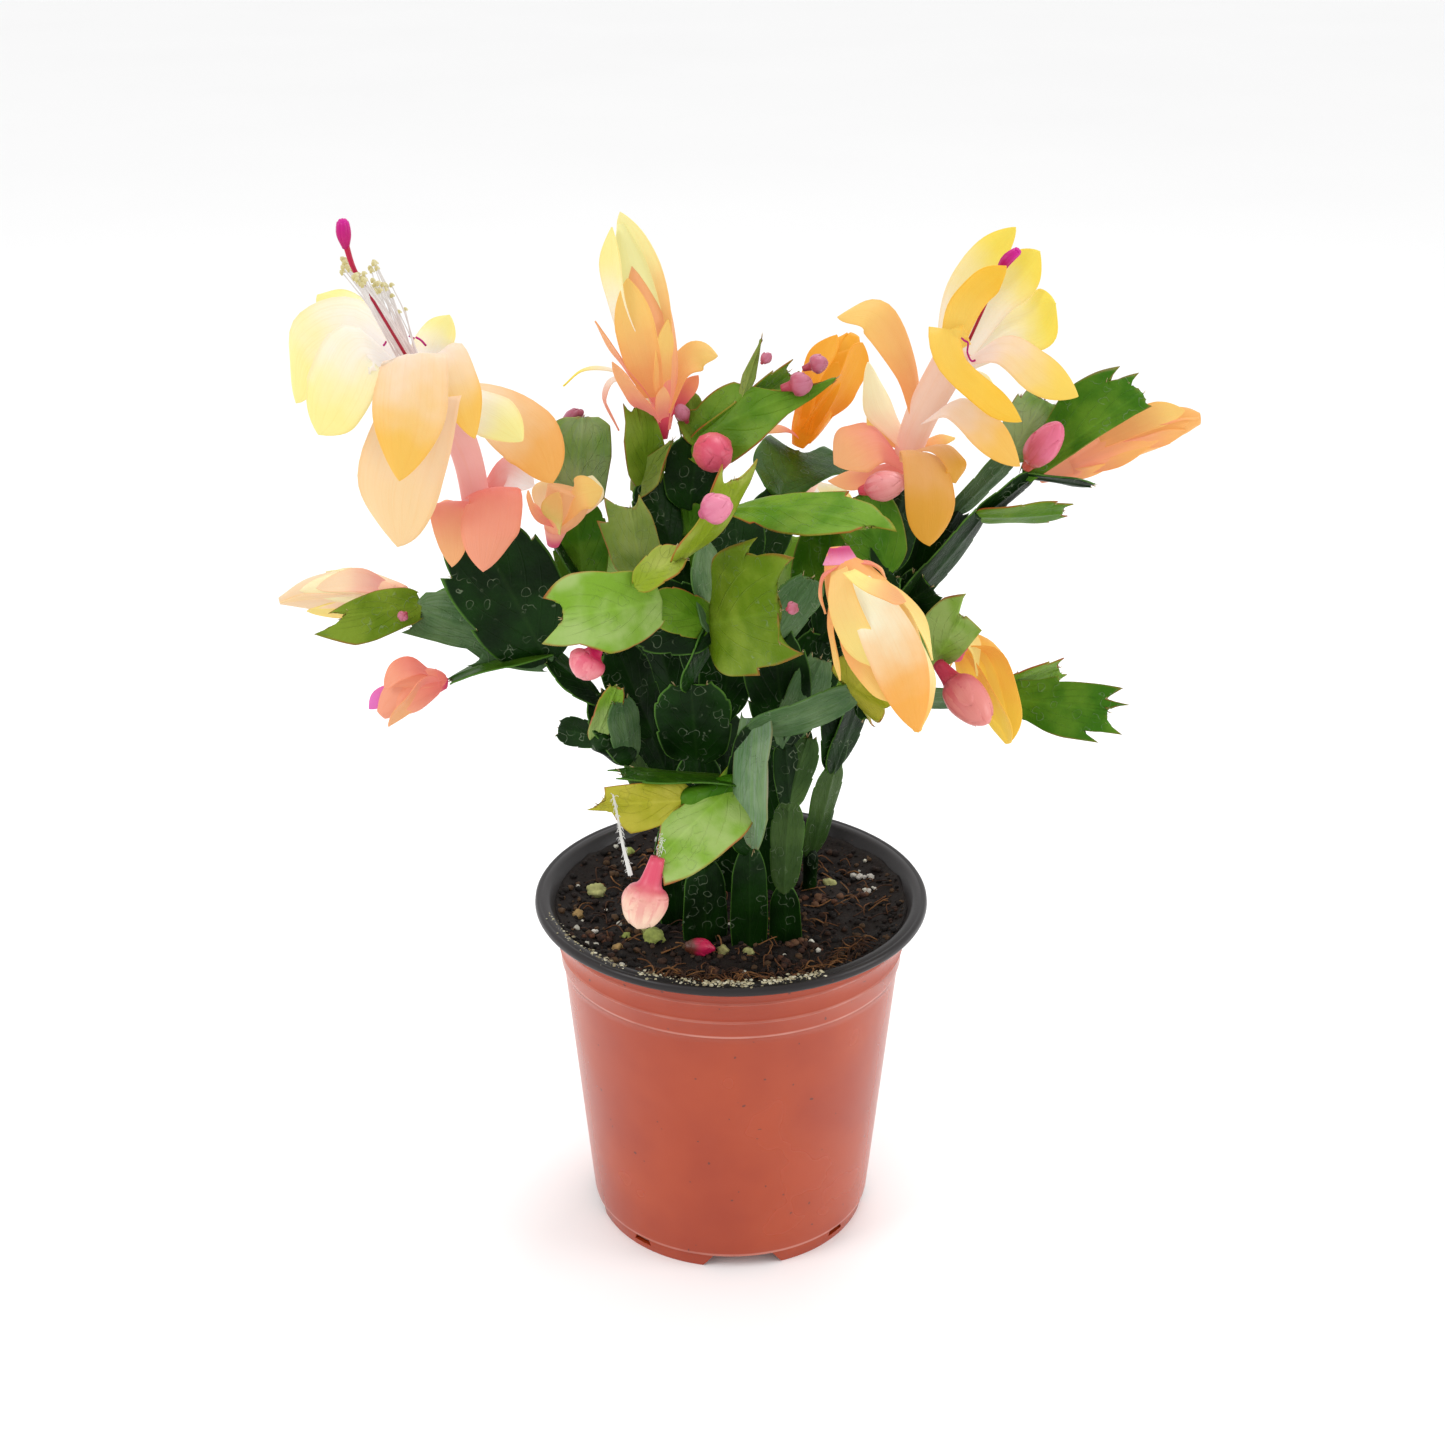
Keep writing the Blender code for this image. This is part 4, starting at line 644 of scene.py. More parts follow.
OWN_MARGINS = {
    "a6": (
        ((0.0, 0.25), (0.1, 0.37, 0.02), (0.35, 0.51, 0.02), (0.6, 0.55, 0.02), (0.84, 0.36),
         (1.15, 0.27, 0.03), (0.98, 0.09), (0.93, 0.02)),
        ((0.0, 0.3), (0.1, 0.4, 0.01), (0.45, 0.47, 0.02), (0.75, 0.55, 0.02), (1.08, 0.3, 0.07),
         (0.89, 0.19), (0.93, 0.02)),
    ),
    "a8": (
        ((0.0, 0.2), (0.3, 0.42, 0.03), (0.85, 0.5, 0.02), (1.12, 0.46), (0.9, 0.25), (0.95, 0.02)),
        ((0.0, 0.2), (0.5, 0.5, 0.04), (0.9, 0.52, 0.02), (1.15, 0.4), (0.98, 0.2), (0.95, 0.02)),
    ),
    "a9": (
        ((0.08, 0.1), (0.27, 0.26), (0.32, 0.47), (0.44, 0.6, 0.02), (0.66, 0.66, 0.01), (0.9, 0.68),
         (0.73, 0.57), (0.85, 0.52, 0.01), (1.22, 0.43, 0.03), (1.0, 0.33), (0.94, 0.16), (0.96, 0.02)),
        ((-0.04, 0.2), (0.1, 0.4, 0.02), (0.36, 0.52, 0.02), (0.64, 0.55), (0.63, 0.48), (0.84, 0.48),
         (1.14, 0.42, 0.01), (0.93, 0.28), (0.96, 0.02)),
    ),
    "b4": (
        ((-0.05, 0.05), (0.06, 0.14), (0.2, 0.47), (0.3, 0.6, 0.01), (0.48, 0.65, 0.01), (0.68, 0.62),
         (0.95, 0.52, 0.01), (1.16, 0.33, 0.01), (1.06, 0.12), (1.04, 0.02)),
        ((-0.04, 0.31), (0.16, 0.25), (0.38, 0.25), (0.62, 0.31, 0.01), (0.79, 0.38, 0.01), (0.9, 0.22),
         (1.04, 0.02, 0.01)),
    ),
    "b6": (
        ((-0.08, 0.05), (0.03, 0.27, 0.02), (0.25, 0.39, 0.01), (0.48, 0.54, 0.01), (0.72, 0.62, 0.01),
         (0.84, 0.44), (0.93, 0.15), (1.2, 0.1), (1.06, 0.02)),
        ((-0.04, 0.22), (0.09, 0.43, 0.02), (0.49, 0.41), (1.0, 0.35, 0.01), (0.99, 0.08), (1.06, 0.02)),
    ),
    "b8": (
        ((-0.02, 0.42), (0.1, 0.5), (0.35, 0.42, 0.01), (0.6, 0.5, 0.02), (0.8, 0.46), (0.86, 0.38),
         (1.04, 0.1, 0.02), (1.03, 0.02)),
        ((-0.05, 0.4), (0.2, 0.44), (0.62, 0.46), (0.8, 0.36, 0.02), (1.0, 0.14, 0.01), (1.03, 0.02)),
    ),
    "b10": (
        ((0.0, 0.1), (0.2, 0.45, 0.03), (0.6, 0.5, 0.03), (1.1, 0.4), (0.9, 0.2), (0.95, 0.02)),
        ((-0.3, 0.2), (-0.9, 0.62, 0.02), (-0.3, 0.4), (0.05, 0.62, 0.04), (0.5, 0.5, 0.02),
         (1.2, 0.52, 0.03), (0.9, 0.15), (0.95, 0.02)),
    ),
    "d16": (
        ((0.0, 0.1), (0.25, 0.5, 0.03), (0.54, 0.66, 0.02), (0.97, 0.5, 0.03), (1.18, 0.16, 0.02),
         (0.88, 0.2), (0.88, 0.02)),
        ((0.0, 0.1), (0.3, 0.35, 0.02), (0.6, 0.42, 0.01), (0.86, 0.47), (0.93, 0.05, 0.02), (0.88, 0.02)),
    ),
    "e7": (
        ((0.0, 0.25), (0.2, 0.42, 0.03), (0.55, 0.62, 0.01), (0.8, 0.66, 0.01), (1.0, 0.5, 0.01),
         (1.24, 0.24, 0.01), (1.05, 0.16), (0.9, 0.02)),
        ((0.0, 0.3), (0.15, 0.45, 0.02), (0.5, 0.48, 0.02), (0.85, 0.3, 0.01), (1.05, 0.16), (0.82, 0.12),
         (0.9, 0.02)),
    ),
    "d7": (
        ((0.0, 0.1), (0.25, 0.34, 0.03), (0.6, 0.6, 0.01), (0.85, 0.57, 0.01), (1.02, 0.47, 0.01),
         (0.87, 0.38), (0.95, 0.34, 0.01), (1.1, 0.27, 0.01), (0.98, 0.2), (1.03, 0.1, 0.01), (1.03, 0.02)),
        ((0.0, 0.06), (0.4, 0.14), (0.9, 0.17), (1.03, 0.2), (1.0, 0.1), (1.03, 0.02)),
    ),
    "d13": (
        ((0.0, 0.2), (0.2, 0.3), (0.44, 0.37), (0.59, 0.48), (0.6, 0.38), (0.8, 0.42, 0.01),
         (1.1, 0.41, 0.01), (0.97, 0.19), (1.17, 0.15), (0.98, 0.06), (1.0, 0.02)),
        ((0.0, 0.2), (0.34, 0.29, 0.01), (0.53, 0.45), (0.7, 0.52, 0.01), (0.97, 0.53), (0.82, 0.36),
         (0.97, 0.35, 0.01), (1.14, 0.35), (0.99, 0.17), (1.0, 0.02)),
    ),
    "e6": (
        ((0.0, 0.2), (0.25, 0.36, 0.02), (0.53, 0.55), (0.43, 0.4), (0.57, 0.3), (0.77, 0.36, 0.01),
         (1.02, 0.44), (0.96, 0.3), (1.0, 0.18, 0.01), (0.99, 0.02)),
        ((0.0, 0.2), (0.2, 0.42, 0.02), (0.5, 0.52, 0.01), (0.86, 0.47), (0.9, 0.36), (0.96, 0.3),
         (0.99, 0.14), (0.99, 0.02)),
    ),
    "f6": (
        ((0.0, 0.2), (0.15, 0.46, 0.03), (0.55, 0.52), (0.54, 0.48), (0.9, 0.48, 0.01), (0.97, 0.3, 0.03),
         (0.98, 0.02)),
        ((0.0, 0.2), (0.15, 0.47, 0.03), (0.6, 0.53), (0.92, 0.46, 0.01), (1.0, 0.25, 0.02), (0.98, 0.02)),
    ),
    "f9": (
        ((0.0, 0.25), (0.19, 0.41, 0.01), (0.53, 0.47, 0.01), (0.92, 0.56), (0.85, 0.37),
         (1.22, 0.38, 0.01), (1.06, 0.2), (0.98, 0.02)),
        ((0.0, 0.25), (0.2, 0.4, 0.01), (0.55, 0.36), (0.9, 0.3, 0.01), (1.16, 0.17), (0.98, 0.1),
         (0.98, 0.02)),
    ),
    "g9": (
        ((0.0, 0.1), (0.08, 0.19), (0.36, 0.26, 0.01), (0.58, 0.38), (0.75, 0.52), (0.75, 0.42),
         (0.94, 0.38, 0.01), (1.05, 0.24, 0.01), (1.18, 0.06, 0.03), (1.0, 0.02)),
        ((0.0, 0.06), (0.1, 0.16), (0.32, 0.35, 0.01), (0.34, 0.31), (0.56, 0.44, 0.02), (0.75, 0.44),
         (0.97, 0.2, 0.03), (1.0, 0.02)),
    ),
    "g12": (
        ((-0.05, 0.08), (-0.02, 0.3, 0.03), (0.07, 0.38, 0.01), (0.15, 0.33), (0.3, 0.44, 0.01),
         (0.5, 0.46, 0.02), (0.57, 0.36), (0.8, 0.1), (1.0, 0.03), (1.21, 0.02)),
        ((-0.05, 0.2), (0.05, 0.42, 0.02), (0.27, 0.51, 0.02), (0.55, 0.41, 0.01), (0.8, 0.22), (1.0, 0.14),
         (1.21, 0.02)),
    ),
    "g15": (
        ((0.0, 0.12), (0.05, 0.2, 0.02), (0.39, 0.4, 0.02), (0.6, 0.42, 0.01), (1.11, 0.35), (0.93, 0.11),
         (0.96, 0.02)),
        ((0.0, 0.1), (0.35, 0.28, 0.02), (0.7, 0.46, 0.02), (1.07, 0.66, 0.01), (1.2, 0.55), (1.5, 0.52),
         (1.24, 0.42), (1.38, 0.25), (1.1, 0.13), (0.96, 0.02)),
    ),
    "g18": (POINTED, POINTED), "g19": (POINTED, POINTED),
    "g6": (
        ((0.0, 0.3), (0.2, 0.5, 0.02), (0.6, 0.5, 0.02), (0.8, 0.35), (1.0, 0.3), (0.85, 0.15),
         (0.92, 0.02)),
        ((0.0, 0.3), (0.3, 0.5, 0.02), (0.7, 0.45, 0.02), (1.1, 0.12, 0.02), (0.95, 0.06), (0.92, 0.02)),
    ),
}
SEGMENT_ROWS = 48
SMOOTHING = 4


def margin_line(corners):
    """The margin as one point for each row. Every corner falls on a row."""
    corners = [(*corner, 0)[:3] for corner in corners]
    reach = [0.0]
    for last, corner in zip(corners, corners[1:]):
        reach.append(reach[-1] + math.hypot((corner[0] - last[0]) * 1.6, corner[1] - last[1]))
    stops = [0]
    for index, length in enumerate(reach[1:], 1):
        latest = SEGMENT_ROWS - (len(corners) - 1 - index)
        stops.append(min(max(round(SEGMENT_ROWS * length / reach[-1]), stops[-1] + 1), latest))
    line = [Vector(corners[0][:2])]
    for start, end, last, corner in zip(stops, stops[1:], corners, corners[1:]):
        for row in range(start + 1, end + 1):
            t = (row - start) / (end - start)
            point = Vector(last[:2]).lerp(Vector(corner[:2]), t)
            line.append(point + Vector((0.0, 4.0 * t * (1.0 - t) * corner[2])))
    return line


def smoothed(line):
    """The same margin without its claws and notches."""
    means = []
    for row in range(len(line)):
        near = line[max(row - SMOOTHING, 0):row + SMOOTHING + 1]
        means.append(sum(near, Vector((0.0, 0.0))) / len(near))
    return means


print("margins:", len(MARGINS) + len(OWN_MARGINS))

# %% [markdown]
# ## Growing a segment
# The face turns towards the eye as far as the direction of growth lets it, and then rolls. The bow lifts
# the middle, the fold lifts the margins, and a slow wave keeps a blade from being flat. A ridge runs down
# its middle.

# %% One segment
SINK = 2.2
RIB_THICKNESS = 1.7
BLADE_THICKNESS = 0.9
MARGIN_THICKNESS = 0.35
ACROSS = (-1.0, -0.94, -0.8, -0.6, -0.38, -0.18, -0.06, 0.0, 0.06, 0.18, 0.38, 0.6, 0.8, 0.94, 1.0)


def segment_axes(base, tip, roll):
    along = (tip - base).normalized()
    view = EYE - base
    facing = (view - view.dot(along) * along).normalized()
    facing = Matrix.Rotation(math.radians(roll), 3, along) @ facing
    return along, along.cross(facing), facing


def blade_thickness(side):
    ridge = math.exp(-(side * 5.0) ** 2)
    inner = BLADE_THICKNESS + (RIB_THICKNESS - BLADE_THICKNESS) * ridge
    return inner * (1.0 - side ** 6) + MARGIN_THICKNESS * side ** 6


def segment(bm, base, tip, width, roll, margins, bow, fold, marks):
    along, across, facing = segment_axes(base, tip, roll)
    if margins is not MARGINS["rooted"]:
        base = base - along * SINK
    lines = [margin_line(corners) for corners in margins]
    smooth_lines = [smoothed(line) for line in lines]
    length = (tip - base).length
    narrow = width / math.hypot(1.0, fold)
    draw = marks[0] * math.tau
    end = margins[0][-1][0]

    def lay(row, side):
        edge, soft = lines[side > 0][row], smooth_lines[side > 0][row]
        point = soft.lerp(edge, abs(side) ** 12)
        rib = end * row / SEGMENT_ROWS
        share = rib + (point.x - rib) * abs(side) ** 1.5
        lift = bow * 4.0 * share * (1.0 - share) * length + fold * point.y * abs(side) ** 1.4 * narrow
        lift += side * side * 0.03 * width * math.sin(share * 8.0 + draw + side)
        return base + along * share * length + across * side * point.y * narrow + facing * lift

    sheet(bm, SEGMENT_ROWS, ACROSS, lay, blade_thickness, marks)
    areoles = [(lay(SEGMENT_ROWS, 0.0), along)]
    for side, line in zip((-1.0, 1.0), lines):
        for row in range(1, SEGMENT_ROWS):
            if line[row].x < line[row - 1].x and line[row + 1].x >= line[row].x:
                areoles.append((lay(row, side), (along + across * side * 0.7).normalized()))
    return areoles


def stalk(bm, base, tip, width, marks):
    reach = (tip - base).normalized() * SINK * 0.3
    foot = base if base.z < SOIL_TOP else base - reach
    stops = [(foot, 0.34)]
    stops += [(base.lerp(tip, along), share) for along, share in ((0.2, 0.46), (0.6, 0.4), (0.9, 0.44))]
    stops.append((tip + reach, 0.2))
    spindle(bm, [(place, share * width) for place, share in stops], 16, 16, marks)


# %% All the leafy stems
draws = random.Random(11)
areoles = []
for stem_name, rows in STEMS.items():
    bm = new_body()
    for start, end, width, roll, outline, *bent in rows:
        bow, fold = bent or (0, 0)
        tone = TONE_OF.get(end, TONES["old"])
        marks = (draws.random(), tone, tone)
        if outline == "stalk":
            stalk(bm, joint(start), joint(end), width, marks)
        else:
            margins = OWN_MARGINS.get(end, MARGINS[outline])
            areoles += segment(bm, joint(start), joint(end), width, roll, margins, bow, fold, marks)
    finish_piece(bm, stem_name + "_fine", stem_name, "segment", SEGMENT_GREEN)

# %% [markdown]
# ## The finish of the petals
# A petal runs from its root colour to its tip colour, with fine veins along it and a silky sheen. Thin
# petals let light through, so a painted glow in their own colour stands for what comes through them, and it
# also lifts the shade on every petal.


# %% Petal silk
# Painted glow: the share of a petal's colour that it gives off as light.
PAINTED_PETAL_GLOW = 0.5


def petal_finish():
    made = Finish(
        "petal_silk", Roughness=0.5, Specular_IOR_Level=0.15, Subsurface_Weight=0.2,
        Emission_Strength=PAINTED_PETAL_GLOW * LIGHT,
    )
    made.shader.inputs["Subsurface Radius"].default_value = (0.004, 0.002, 0.001)
    made.shader.inputs["Subsurface Scale"].default_value = 0.5
    across, along, draw = made.mark("place")
    root = made.carried("root")
    tip = made.carried("tip")
    veins = made.noise(made.vector(across * 9.0, along * 0.9, draw * 37.0), 2.2, 3.0)
    cloud = made.noise(made.spot(), 120.0, 2.0)
    run = (along + (cloud - 0.5) * 0.3).fade(0.05, 0.75)
    tint = run.blend(root, tip)
    tint = (veins.fade(0.45, 0.75) * 0.3).blend(tint, tint * (0.98, 0.86, 0.7))
    edge = abs(across).fade(0.8, 1.0)
    tint = (edge * 0.3).blend(tint, tint * (0.96, 0.76, 0.58))
    height = veins * 0.8 + cloud * 0.4
    # Painted glow: the colour is emitted as well as lit, so the petals keep little shade.
    return made.wear(
        Base_Color=tint * (1.0 - PAINTED_PETAL_GLOW), Emission_Color=tint, Normal=made.relief(height, 0.35, 0.0004),
    )


PETAL_SILK = petal_finish()
print("finish:", PETAL_SILK.name)

# %% [markdown]
# ## The blooms
# A bloom has a tube or, while it is closed, a spindle of furled petals. Round it stand its petals, each on
# a curve through a few measured places, with its width across the plane of that curve and the bloom's axis.
# A turn in degrees rolls the petal about its own curve, to show the eye more or less of its face.

# %% Measured blooms: the stations of the body, then each petal's places, width, bluntness and turn
BLOOMS = {
    "bloom_a": (
        ((-67.7, 204.6, -13.2, 1.8), (-66.5, 212, -16, 3.4), (-69.5, 230, -23, 3.8), (-80, 249, -31, 5.0)),
        (
            (((-80, 246, -34), (-81, 253, -42), (-83.5, 236, -50), (-86.2, 219.6, -49)), 18),
            (((-82, 248, -32), (-94, 255.5, -36), (-102, 243, -42), (-106.3, 232, -42)), 20, 3.2, -28),
            (((-83, 250, -30), (-96, 260, -28), (-108.5, 254, -26), (-111.3, 240.3, -26)), 19, 3.2, -42),
            (((-82, 249, -28), (-95, 264, -16), (-104, 268, -12)), 10, 4.0),
            (((-79, 244, -32), (-80, 240, -40), (-88.5, 217, -38), (-87.7, 201.6, -34)), 23, 3.0),
            (((-77, 249, -31), (-72.5, 254, -33), (-68.5, 243, -38), (-66.2, 230.9, -40)), 11, 2.4),
            (((-76, 245, -30), (-67, 240, -27), (-59.5, 236, -30), (-53.8, 230.3, -32)), 12, 1.9, 30),
            (((-76, 244, -28), (-60, 238, -18), (-50.5, 230, -16), (-46.5, 219, -18)), 17, 2.6, 55),
            (((-66, 217, -18), (-62, 216.5, -30), (-63.5, 206, -36), (-65.6, 194.7, -34)), 14.5, 2.4),
            (((-68, 214, -18), (-74, 213, -27), (-74, 204, -31), (-73.7, 196, -30)), 10),
            (((-66, 215, -16), (-59, 222, -16), (-55, 221, -17), (-51.3, 218.3, -16)), 10, 1.9, 40),
            (((-67, 212, -16), (-75, 213, -14), (-79, 212, -10)), 5),
            (((-79, 249, -27), (-76, 257, -24), (-71, 263, -21)), 13),
        ),
    ),
    "bloom_b": (
        (
            (-18, 231, 5, 1.4), (-17.8, 238, 5.5, 2.6), (-19.5, 250, 6, 5.6), (-22.5, 262, 7, 7.0),
            (-25, 275, 8, 5.2), (-27.5, 286, 8, 1.0),
        ),
        (
            (((-20, 246, 5), (-26.5, 261, 1), (-29.4, 274, 3), (-29.8, 285, 6)), 11, 2.4),
            (((-18, 246, 7), (-19.5, 262, 5), (-23, 278, 7), (-27.7, 288.7, 8)), 13),
            (((-20, 242, 2), (-23.7, 257, -3), (-26.2, 272.3, 0)), 10.5),
            (((-20.5, 241, 4), (-27.5, 251, 1), (-34.5, 261.5, 3)), 6),
            (((-18, 241, 3), (-18, 251, -1), (-16.2, 262, 1)), 7),
            (((-19.5, 236, 3), (-24, 242, -2), (-30.4, 251, -1)), 8),
            (((-18.5, 235, 4), (-18, 240, 0), (-17.4, 244.7, 0)), 4.5),
            (((-17, 238, 5), (-14, 249, 8), (-8.5, 253.1, 10), (-3.6, 252.5, 10)), 9, 1.9, 50),
            (((-17, 236, 6), (-12.5, 243, 7), (-8.5, 247.5, 8)), 6, 1.9, 40),
            (((-22, 246, 8), (-32, 249.5, 10), (-38, 249, 10), (-43, 244.7, 10)), 3.5),
            (((-19, 240, 6), (-29, 247, 5), (-33, 242, 5), (-29, 233, 4)), 6),
        ),
    ),
    "bloom_c": (
        (
            (17, 229, 30, 1.8), (19.5, 235, 30.5, 4.2), (25, 247, 32, 6.2), (29, 254, 33, 4.4),
            (31, 258, 33, 1.4),
        ),
        (
            (((18.5, 233, 29), (21, 247, 26), (26.5, 258, 30)), 11, 3.0),
            (((19.5, 234, 28), (27.5, 244, 24), (33, 256, 29)), 13, 4.0),
            (((19, 233, 28), (23, 243, 23), (27, 251, 26)), 8),
            (((18, 231, 30), (13, 234, 27), (8, 232.5, 26)), 5),
        ),
    ),
    "bloom_d": (
        ((44, 221, 7, 1.8), (45, 226, 6, 3.4), (49, 238, 3, 4.3), (57, 254, 0, 4.8)),
        (
            (((54, 253, 1), (57, 267, 3), (63, 277, 4), (70.2, 285, 2)), 9.5, 2.2),
            (((55, 253, -3), (58, 265, -8), (63, 271.5, -11), (68.4, 275.3, -12)), 10),
            (((57, 252, 2), (64, 266, 7), (71, 273, 7), (76.5, 279, 4)), 13, 2.2),
            (((58, 251, 1), (68, 259, 5), (76, 262, 4), (81.2, 266, 0)), 18, 2.6, 12),
            (((58, 251, -1), (69, 255, -5), (79, 248, -9), (88.4, 242, -10)), 12, 2.2, 40),
            (
                ((58, 254.5, -3), (54, 259.5, -9), (56.5, 251, -14), (66, 242, -15), (74.3, 235.4, -13)),
                10, 2.4,
            ),
            (((58, 250, 1), (65, 246, 0), (69, 239, -2)), 9),
            (((48, 236, 3), (44.5, 250, 5), (36, 263, 7), (26.5, 262.4, 9)), 11, 2.2, -35),
            (((46, 229, 5), (39, 238, 11), (34.5, 251, 14)), 12),
            (((44, 225, 5), (38, 231, 2), (31, 229, 0), (26.5, 224, 0)), 18, 2.6, -12),
            (((45, 228, 6), (38, 233, 9), (34.6, 236.7, 10)), 6),
            (((45, 224, 5), (34, 221, 3), (25, 219.5, 3)), 9),
            (((47, 225, 3), (49.5, 227, -7), (52.2, 215, -13), (51.9, 201.8, -12)), 13.5, 4.0),
            (((48, 228, 3), (54, 229, -3), (58.5, 224, -5), (58, 219, -4)), 9, 3.5),
            (((50, 236, 1), (57, 240, -5), (66, 233, -8), (74.5, 223.5, -8)), 11.5, 2.4, 25),
            (((48, 229, 5), (54, 231, 9), (57.5, 231, 10)), 4),
        ),
    ),
    "bloom_e": (
        (
            (80, 220.5, 17, 1.6), (88, 223.8, 20, 3.4), (99, 229.5, 21.5, 4.6), (109, 234, 22.5, 5.0),
            (116, 235.8, 23, 3.6), (120, 236.2, 23, 1.6),
        ),
        (
            (((86, 222.5, 20), (97, 225.5, 17.5), (108, 229.5, 18)), 6),
            (((84, 221.5, 19), (91, 222, 17.5), (98, 224, 18)), 4.5),
            (((95, 230, 18.5), (107, 236.5, 17.5), (116, 238.3, 19)), 7),
            (((99, 228.5, 18.5), (109, 231, 17.5), (117, 233, 19)), 6),
            (((105, 234, 18.5), (113, 236, 18.5), (119.8, 236.5, 21)), 6),
        ),
    ),
    "bloom_f": (
        (
            (28.3, 201.5, -51, 2.2), (28.8, 197, -52, 4.2), (31.8, 191, -54, 6.8), (37.5, 181, -58, 9.0),
            (43.5, 169.5, -60, 7.8), (48.5, 158, -60, 4.6), (50.8, 148.8, -60, 1.0),
        ),
        (
            (((33, 192, -60), (40, 180, -69.5), (46.5, 165, -70.5), (50.9, 148.3, -62)), 13, 2.4),
            (((28.5, 195, -57), (30, 185, -66), (34, 175.5, -68.5), (38.6, 167.5, -69)), 8, 2.2),
            (((31, 194.5, -60), (35.5, 191, -67), (41, 188.5, -69), (46.3, 186.2, -67)), 6),
            (((34, 194, -56), (45, 187, -61), (50.5, 179, -63), (54, 169.4, -62)), 7),
            (((27, 190, -54), (26.8, 179, -59), (28.4, 170, -60), (29.3, 163.5, -59)), 4.5),
            (((28.5, 196.5, -55), (24.4, 193, -57), (23.8, 188, -57.5), (25, 182.7, -57)), 4),
            (((31, 197, -53), (36, 196.8, -54), (39, 195.2, -54), (40.8, 192.5, -54)), 4),
            (((30, 186, -60), (33, 173.5, -67), (38.5, 165, -69), (43.8, 157.4, -66)), 8, 2.2),
            (((48, 178, -62), (53, 164.5, -62), (53.2, 157, -62), (51.3, 148.6, -61)), 6, 2.2),
        ),
    ),
    "bloom_g": (
        (
            (56.6, 170.2, -12.6, 1.6), (61, 173, -9.5, 3.8), (66, 169.5, -8.5, 6.4), (71, 160, -9, 6.2),
            (74, 151, -10, 3.6), (75.6, 145.2, -10.5, 1.0),
        ),
        (
            (((62, 174, -12), (71, 171, -15.5), (75.8, 158, -16.5), (75.9, 145.2, -11)), 9, 2.4),
            (((59, 168, -13), (62.3, 175.4, -13), (64.9, 172.8, -15), (66.2, 164.8, -17)), 5.5),
            (((63, 171, -13), (69, 162, -17), (73.5, 153, -16.5), (75.8, 145.2, -11.5)), 8, 2.2),
        ),
    ),
    "bloom_h": (
        (
            (-85.3, 188, -4.9, 1.5), (-90, 188.5, -2, 3.2), (-100, 189.5, 1, 5.2), (-111, 188.5, 1, 4.4),
            (-120, 186.4, 0, 1.0),
        ),
        (
            (((-90, 189, -2.7), (-99, 192, -4.8), (-110, 190, -4)), 7),
            (((-89, 189.5, -1), (-99, 193.5, 0), (-110, 192.5, 1)), 6),
            (((-98, 188, -4), (-110, 188, -4.8), (-120, 186, -1)), 8, 2.2),
            (((-92, 187, -1), (-103, 184.5, -2), (-113, 183.5, -1)), 6),
        ),
    ),
    "bloom_i": (
        (
            (-76.8, 162.8, -17, 1.4), (-80, 163, -18, 3.5), (-86, 161, -20, 5.6), (-91, 157.5, -21, 4.6),
            (-95, 153.5, -22, 1.6),
        ),
        (
            (((-80, 162.5, -20), (-84, 162.5, -25), (-88, 157, -27), (-93.3, 150, -25)), 8.5, 2.2),
            (((-80, 164, -19), (-85, 167.3, -22), (-90, 165.5, -25), (-93.7, 161, -26)), 7, 2.2),
            (((-88, 161, -20), (-94, 159, -21), (-98.2, 155.2, -21)), 5),
        ),
    ),
    "bloom_j": (
        ((-46.9, 202.3, -4.5, 1.5), (-46, 207, -6.6, 3.0), (-43.5, 212, -8.5, 5.4), (-42, 217, -8, 6.0)),
        (
            (((-45, 208, -9), (-40.5, 216, -13), (-33.6, 217.5, -10)), 11, 2.2, 30),
            (((-46, 208, -9), (-51, 212, -12), (-53, 217, -11)), 7),
            (((-46, 206, -9), (-46.5, 211, -14), (-45, 216.5, -15)), 7),
            (((-43, 211, -6), (-38, 216, -3.5), (-36, 221, -2)), 9),
            (((-45, 210, -6), (-48, 216, -3), (-48, 220, -2)), 9),
        ),
    ),
    "bloom_back": (
        ((14.4, 206.2, 53.6, 1.6), (16, 213, 56, 3.4), (18, 219, 62, 4.6), (19, 222, 70, 5.0)),
        (
            (((18, 219, 66), (22, 226, 74), (27, 226, 84)), 12),
            (((18, 220, 66), (12, 226, 76), (8, 224, 84)), 12),
            (((19, 220, 68), (19, 215, 80), (22, 206, 84)), 13),
            (((18, 219, 67), (12, 213, 76), (6, 208, 80)), 11),
            (((19, 220, 67), (26, 217, 76), (31, 211, 80)), 11),
            (((16, 214, 57), (20, 212, 60), (24, 214, 64)), 7),
        ),
    ),
}
print("petals:", sum(len(petals) for _, petals in BLOOMS.values()))

# %% [markdown]
# ## The colours of each bloom
# One letter for each colour keeps the list short, such as y for pale yellow, l for lemon, o for orange, d
# for deep orange and p for the pink orange of the lower whorls. A bloom's first letter is its body's, the
# second its furled petals', and then comes one for each petal.

# %% Petal colours
HUES = {
    "w": "f2907c f8ccb4", "t": "ec8078 fff0ec", "y": "fff8f2 fdf39c", "k": "fff0e4 fbc85c",
    "h": "fbd8b4 fbd8a0", "l": "fbf0dc fce85e", "q": "fbd464 fac83c", "o": "f8a868 fbcf74",
    "e": "f59a78 fbb868", "d": "f68c1c fbb034", "p": "f2887c f8b47c", "b": "ecb07c dea034",
    "c": "f8e0d4 f8c45c", "g": "d4c66c f0bc70", "m": "c8305c f29468", "v": "f9b468 fdf6ac",
    "f": "fdf4b0 fdc45c", "a": "fffcdc fcb450", "i": "fbcf80 fce488", "u": "fdf090 f8b87c",
    "s": "f8dccc fbd860", "x": "f8c0a0 fdf4c4", "n": "f8ac4c fcd250", "z": "fff6e4 f4a088",
    "j": "ee7c70 f8a484", "A": "fce0b8 f8b45c", "B": "ee8480 f8b4ac", "C": "f4aca0 fcdcb4",
    "D": "e86cac e878c4",
}
HUES = {letter: colours(codes) for letter, codes in HUES.items()}
